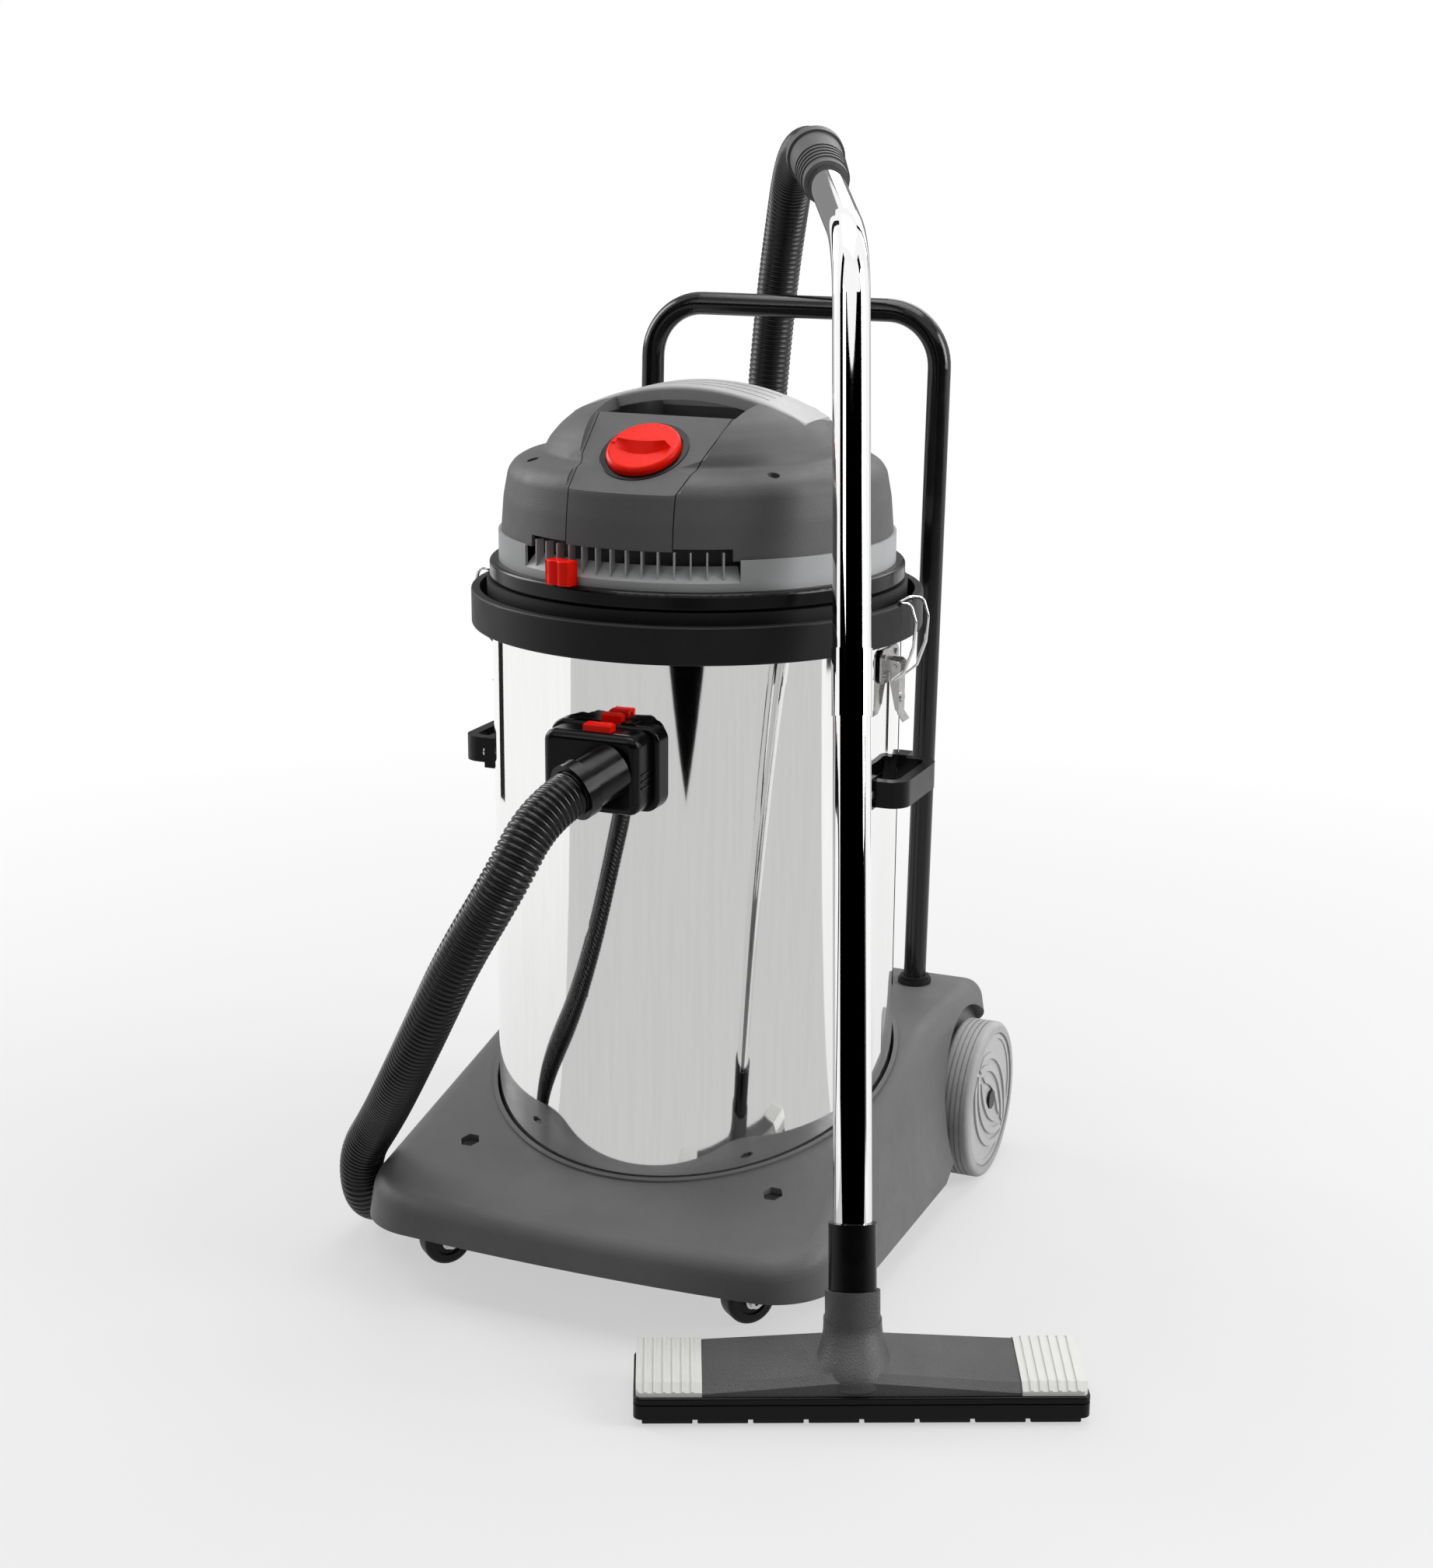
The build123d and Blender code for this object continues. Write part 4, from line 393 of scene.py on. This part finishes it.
# Rows of name, colour, roughness, grain and shine
RUBBER = {
    "black_rubber": ("black_rubber", (0.010, 0.010, 0.0105), 0.50, 0.08, 0.20),
    "caster_black": ("caster_tread", (0.010, 0.010, 0.010), 0.40, 0.08, 0.25),
    "tyre_grey": ("grey_tyre", (0.35, 0.35, 0.35), 0.62, 0.12, 0.30),
    "foam": ("grey_foam", (0.05, 0.05, 0.05), 0.85, 0.60, 0.30),
    "filter_cloth": ("filter_cloth", (0.60, 0.60, 0.55), 0.85, 0.40, 0.30),
}
# Rows of name, colour, roughness, streak, streak scale, amount and dent
POLISHED = {
    "drum_steel": ("mirror_steel", (0.93, 0.925, 0.92), 0.045, (3.0, 3.0, 0.12), 60.0, 0.012, 0.03),
    "wand_chrome": ("tube_chrome", (0.95, 0.95, 0.95), 0.03, (1.0, 1.0, 0.1), 160.0, 0.01),
    "zinc_steel": ("zinc_plate", (0.62, 0.61, 0.60), 0.27, (1.0, 1.0, 1.0), 260.0, 0.08),
    "wire_steel": ("bright_wire", (0.80, 0.80, 0.80), 0.12, (1.0, 1.0, 0.2), 200.0, 0.03),
    "motor_metal": ("cast_aluminium", (0.60, 0.60, 0.60), 0.35, (1.0, 1.0, 1.0), 300.0, 0.1),
}
# Nodes whose finish differs from their slot's
FINISHES = {
    "trolley_bolts": ("blackened_bolt", (0.008, 0.008, 0.008), 0.45, 0.05, 0.8, 0.10, 0.20),
    "cover_screws": ("blackened_screw", (0.010, 0.010, 0.010), 0.45, 0.05, 0.8, 0.10, 0.20),
    "nozzle_body": ("nozzle_charcoal", (0.060, 0.060, 0.062), 0.40, 0.30, 1.5, 0.20, 0.30),
    "axle_caps": ("dark_cap", (0.012, 0.012, 0.012), 0.40, 0.05, 0.8, 0.10, 0.30),
    "carry_handle": ("handle_grey", (0.39, 0.39, 0.39), 0.40, 0.12, 0.9, 0.06, 0.40),
}
HOSE_FINISH = ("hose_black", (0.003, 0.003, 0.0033), 0.30, 0.0, 1.0, 0.15, 0.34)

materials = {slot: moulded(*row) for slot, row in MOULDED.items()}
materials.update({slot: rubber(*row) for slot, row in RUBBER.items()})
materials.update({slot: polished(*row) for slot, row in POLISHED.items()})
finishes = {name: moulded(*row) for name, row in FINISHES.items()}

slot_of = {part["node"]: part["material_slot"] for part in frame["record"]["subparts"]}
for name, piece in nodes.items():
    piece.data.materials.clear()
    piece.data.materials.append(finishes.get(name) or materials[slot_of[name]])
hose.data.materials.append(moulded(*HOSE_FINISH))


# ---------------------------------------------------------------- studio
WHITE = (1.0, 1.0, 1.0)
FLOOR_REACH = 14.0
FLOOR_DROP = 0.0006
FLOOR_COLOUR = (0.50, 0.50, 0.50)
FLOOR_ROUGHNESS = 0.8
# Distances in metres between which the floor fades to the white background, and the share at the first
FADE_FROM, FADE_TO = 0.55, 2.2
FADE_START = 0.55
SKY_LIGHT = 0.22


def make_floor():
    """A pale floor that keeps the shadow and fades to white where it is seen or mirrored."""
    corners = [(x * FLOOR_REACH, y * FLOOR_REACH, 0) for x, y in ((-1, -1), (1, -1), (1, 1), (-1, 1))]
    floor = mesh_piece("floor", corners, [(0, 1, 2, 3)])
    floor.location.z = -FLOOR_DROP
    t = Nodes("floor")
    t.finish(FLOOR_COLOUR, FLOOR_ROUGHNESS)
    path = t.add("ShaderNodeLightPath")
    reach = t.add("ShaderNodeVectorMath", operation="LENGTH")
    t.wire(t.place, reach.inputs[0])
    far = t.span(reach.outputs["Value"], FADE_FROM, FADE_TO, FADE_START, 1.0)
    seen = t.sums("MAXIMUM", path.outputs["Is Camera Ray"], path.outputs["Is Glossy Ray"])
    t.blend(t.sums("MULTIPLY", seen, far), t.surface.outputs[0], t.glow(WHITE), "Material Output")
    floor.data.materials.append(t.material)


def make_world():
    """A soft sky that looks white where it is seen, mirrored or seen through something."""
    world = bpy.data.worlds.new("studio")
    scene.world = world
    world.use_nodes = True
    t = Tree(world.node_tree)
    light = t.put(t.tree.nodes["Background"], Color=opaque(WHITE), Strength=SKY_LIGHT)
    white = t.put(t.add("ShaderNodeBackground"), Color=opaque(WHITE), Strength=1.0)
    path = t.add("ShaderNodeLightPath").outputs
    seen = t.sums("MAXIMUM", path["Is Camera Ray"], path["Is Glossy Ray"])
    seen = t.sums("MAXIMUM", seen, path["Is Transmission Ray"])
    t.blend(seen, light.outputs[0], white.outputs[0], "World Output")


def area_lamp(name, place, aim_height, size, power):
    data = bpy.data.lights.new(name, "AREA")
    data.shape = "RECTANGLE"
    data.size, data.size_y = size
    data.energy = power
    lamp = bpy.data.objects.new(name, data)
    scene.collection.objects.link(lamp)
    lamp.location = place
    lamp.rotation_mode = "QUATERNION"
    lamp.rotation_quaternion = (Vector(place) - Vector((0, 0, aim_height))).to_track_quat("Z", "Y")


def card(name, verts, faces, level):
    """A studio board that only shows as a reflection in shiny surfaces."""
    board = mesh_piece(name, verts, faces, smooth=False)
    t = Nodes(name)
    t.wire(t.glow((level, level, level)), t.tree.nodes["Material Output"].inputs["Surface"])
    board.data.materials.append(t.material)
    board.visible_camera = False
    board.visible_diffuse = False
    board.visible_shadow = False
    board.visible_transmission = False


def around(angle, reach, height):
    """A place seen from the drum: degrees round from the camera's side, distance and height."""
    turn = CAMERA_YAW + math.radians(angle)
    return (reach * math.sin(turn), -reach * math.cos(turn), height)


CARD_STEPS = 24
BLACK = 0.0


def strip(name, angles, near, far, level):
    """A board along an arc round the drum. Near and far are a distance and a height for its two edges."""
    verts = []
    for index in range(CARD_STEPS + 1):
        angle = angles[0] + (angles[1] - angles[0]) * index / CARD_STEPS
        verts += [around(angle, *near), around(angle, *far)]
    faces = [(2 * i, 2 * i + 2, 2 * i + 3, 2 * i + 1) for i in range(CARD_STEPS)]
    card(name, verts, faces, level)


# Rows of name, range of angles, the distance and height of both edges, and level
STRIPS = [
    ("card_floor", (-71, 71), (0.42, 0.004), (6.5, 0.004), 0.62),
    ("card_front", (-76, 76), (6.0, 0.0), (6.0, 4.0), BLACK),
    ("card_side_left", (-76, -60), (6.0, 4.0), (6.0, 9.0), BLACK),
    ("card_side_right", (60, 76), (6.0, 4.0), (6.0, 9.0), BLACK),
    ("card_strip_left", (-142, -133), (1.9, 0.0), (1.9, 3.5), 0.02),
    ("card_strip_right", (128, 134), (2.3, 0.0), (2.3, 3.5), 0.02),
    ("card_strip_front", (74, 80), (3.2, 0.0), (3.2, 1.2), 0.02),
    ("card_back", (150, 210), (5.0, 0.0), (5.0, 4.5), 0.25),
]
# A dark patch on the floor in front: angle, distance and height of its corners
WEDGE = [(-5, 2.15, 0.008), (-18, 4.3, 0.008), (8, 4.3, 0.008)]
# Rows of name, place, the height aimed at, size and power
LAMPS = [
    ("top", (0.0, 0.3, 3.6), 0.5, (2.4, 2.4), 60),
    ("right", (3.0, 0.5, 1.9), 0.5, (1.4, 2.2), 85),
    ("left", (-2.9, 0.3, 2.1), 0.5, (1.4, 2.0), 60),
    ("back", (0.4, 2.6, 2.4), 0.6, (2.4, 1.2), 25),
    ("front", (-1.2, -2.9, 2.2), 0.5, (1.0, 1.0), 7),
]

make_floor()
make_world()
for row in STRIPS:
    strip(*row)
card("card_wedge", [around(*corner) for corner in WEDGE], [(0, 2, 1)], BLACK)
for row in LAMPS:
    area_lamp(*row)

scene.view_settings.view_transform = "Standard"
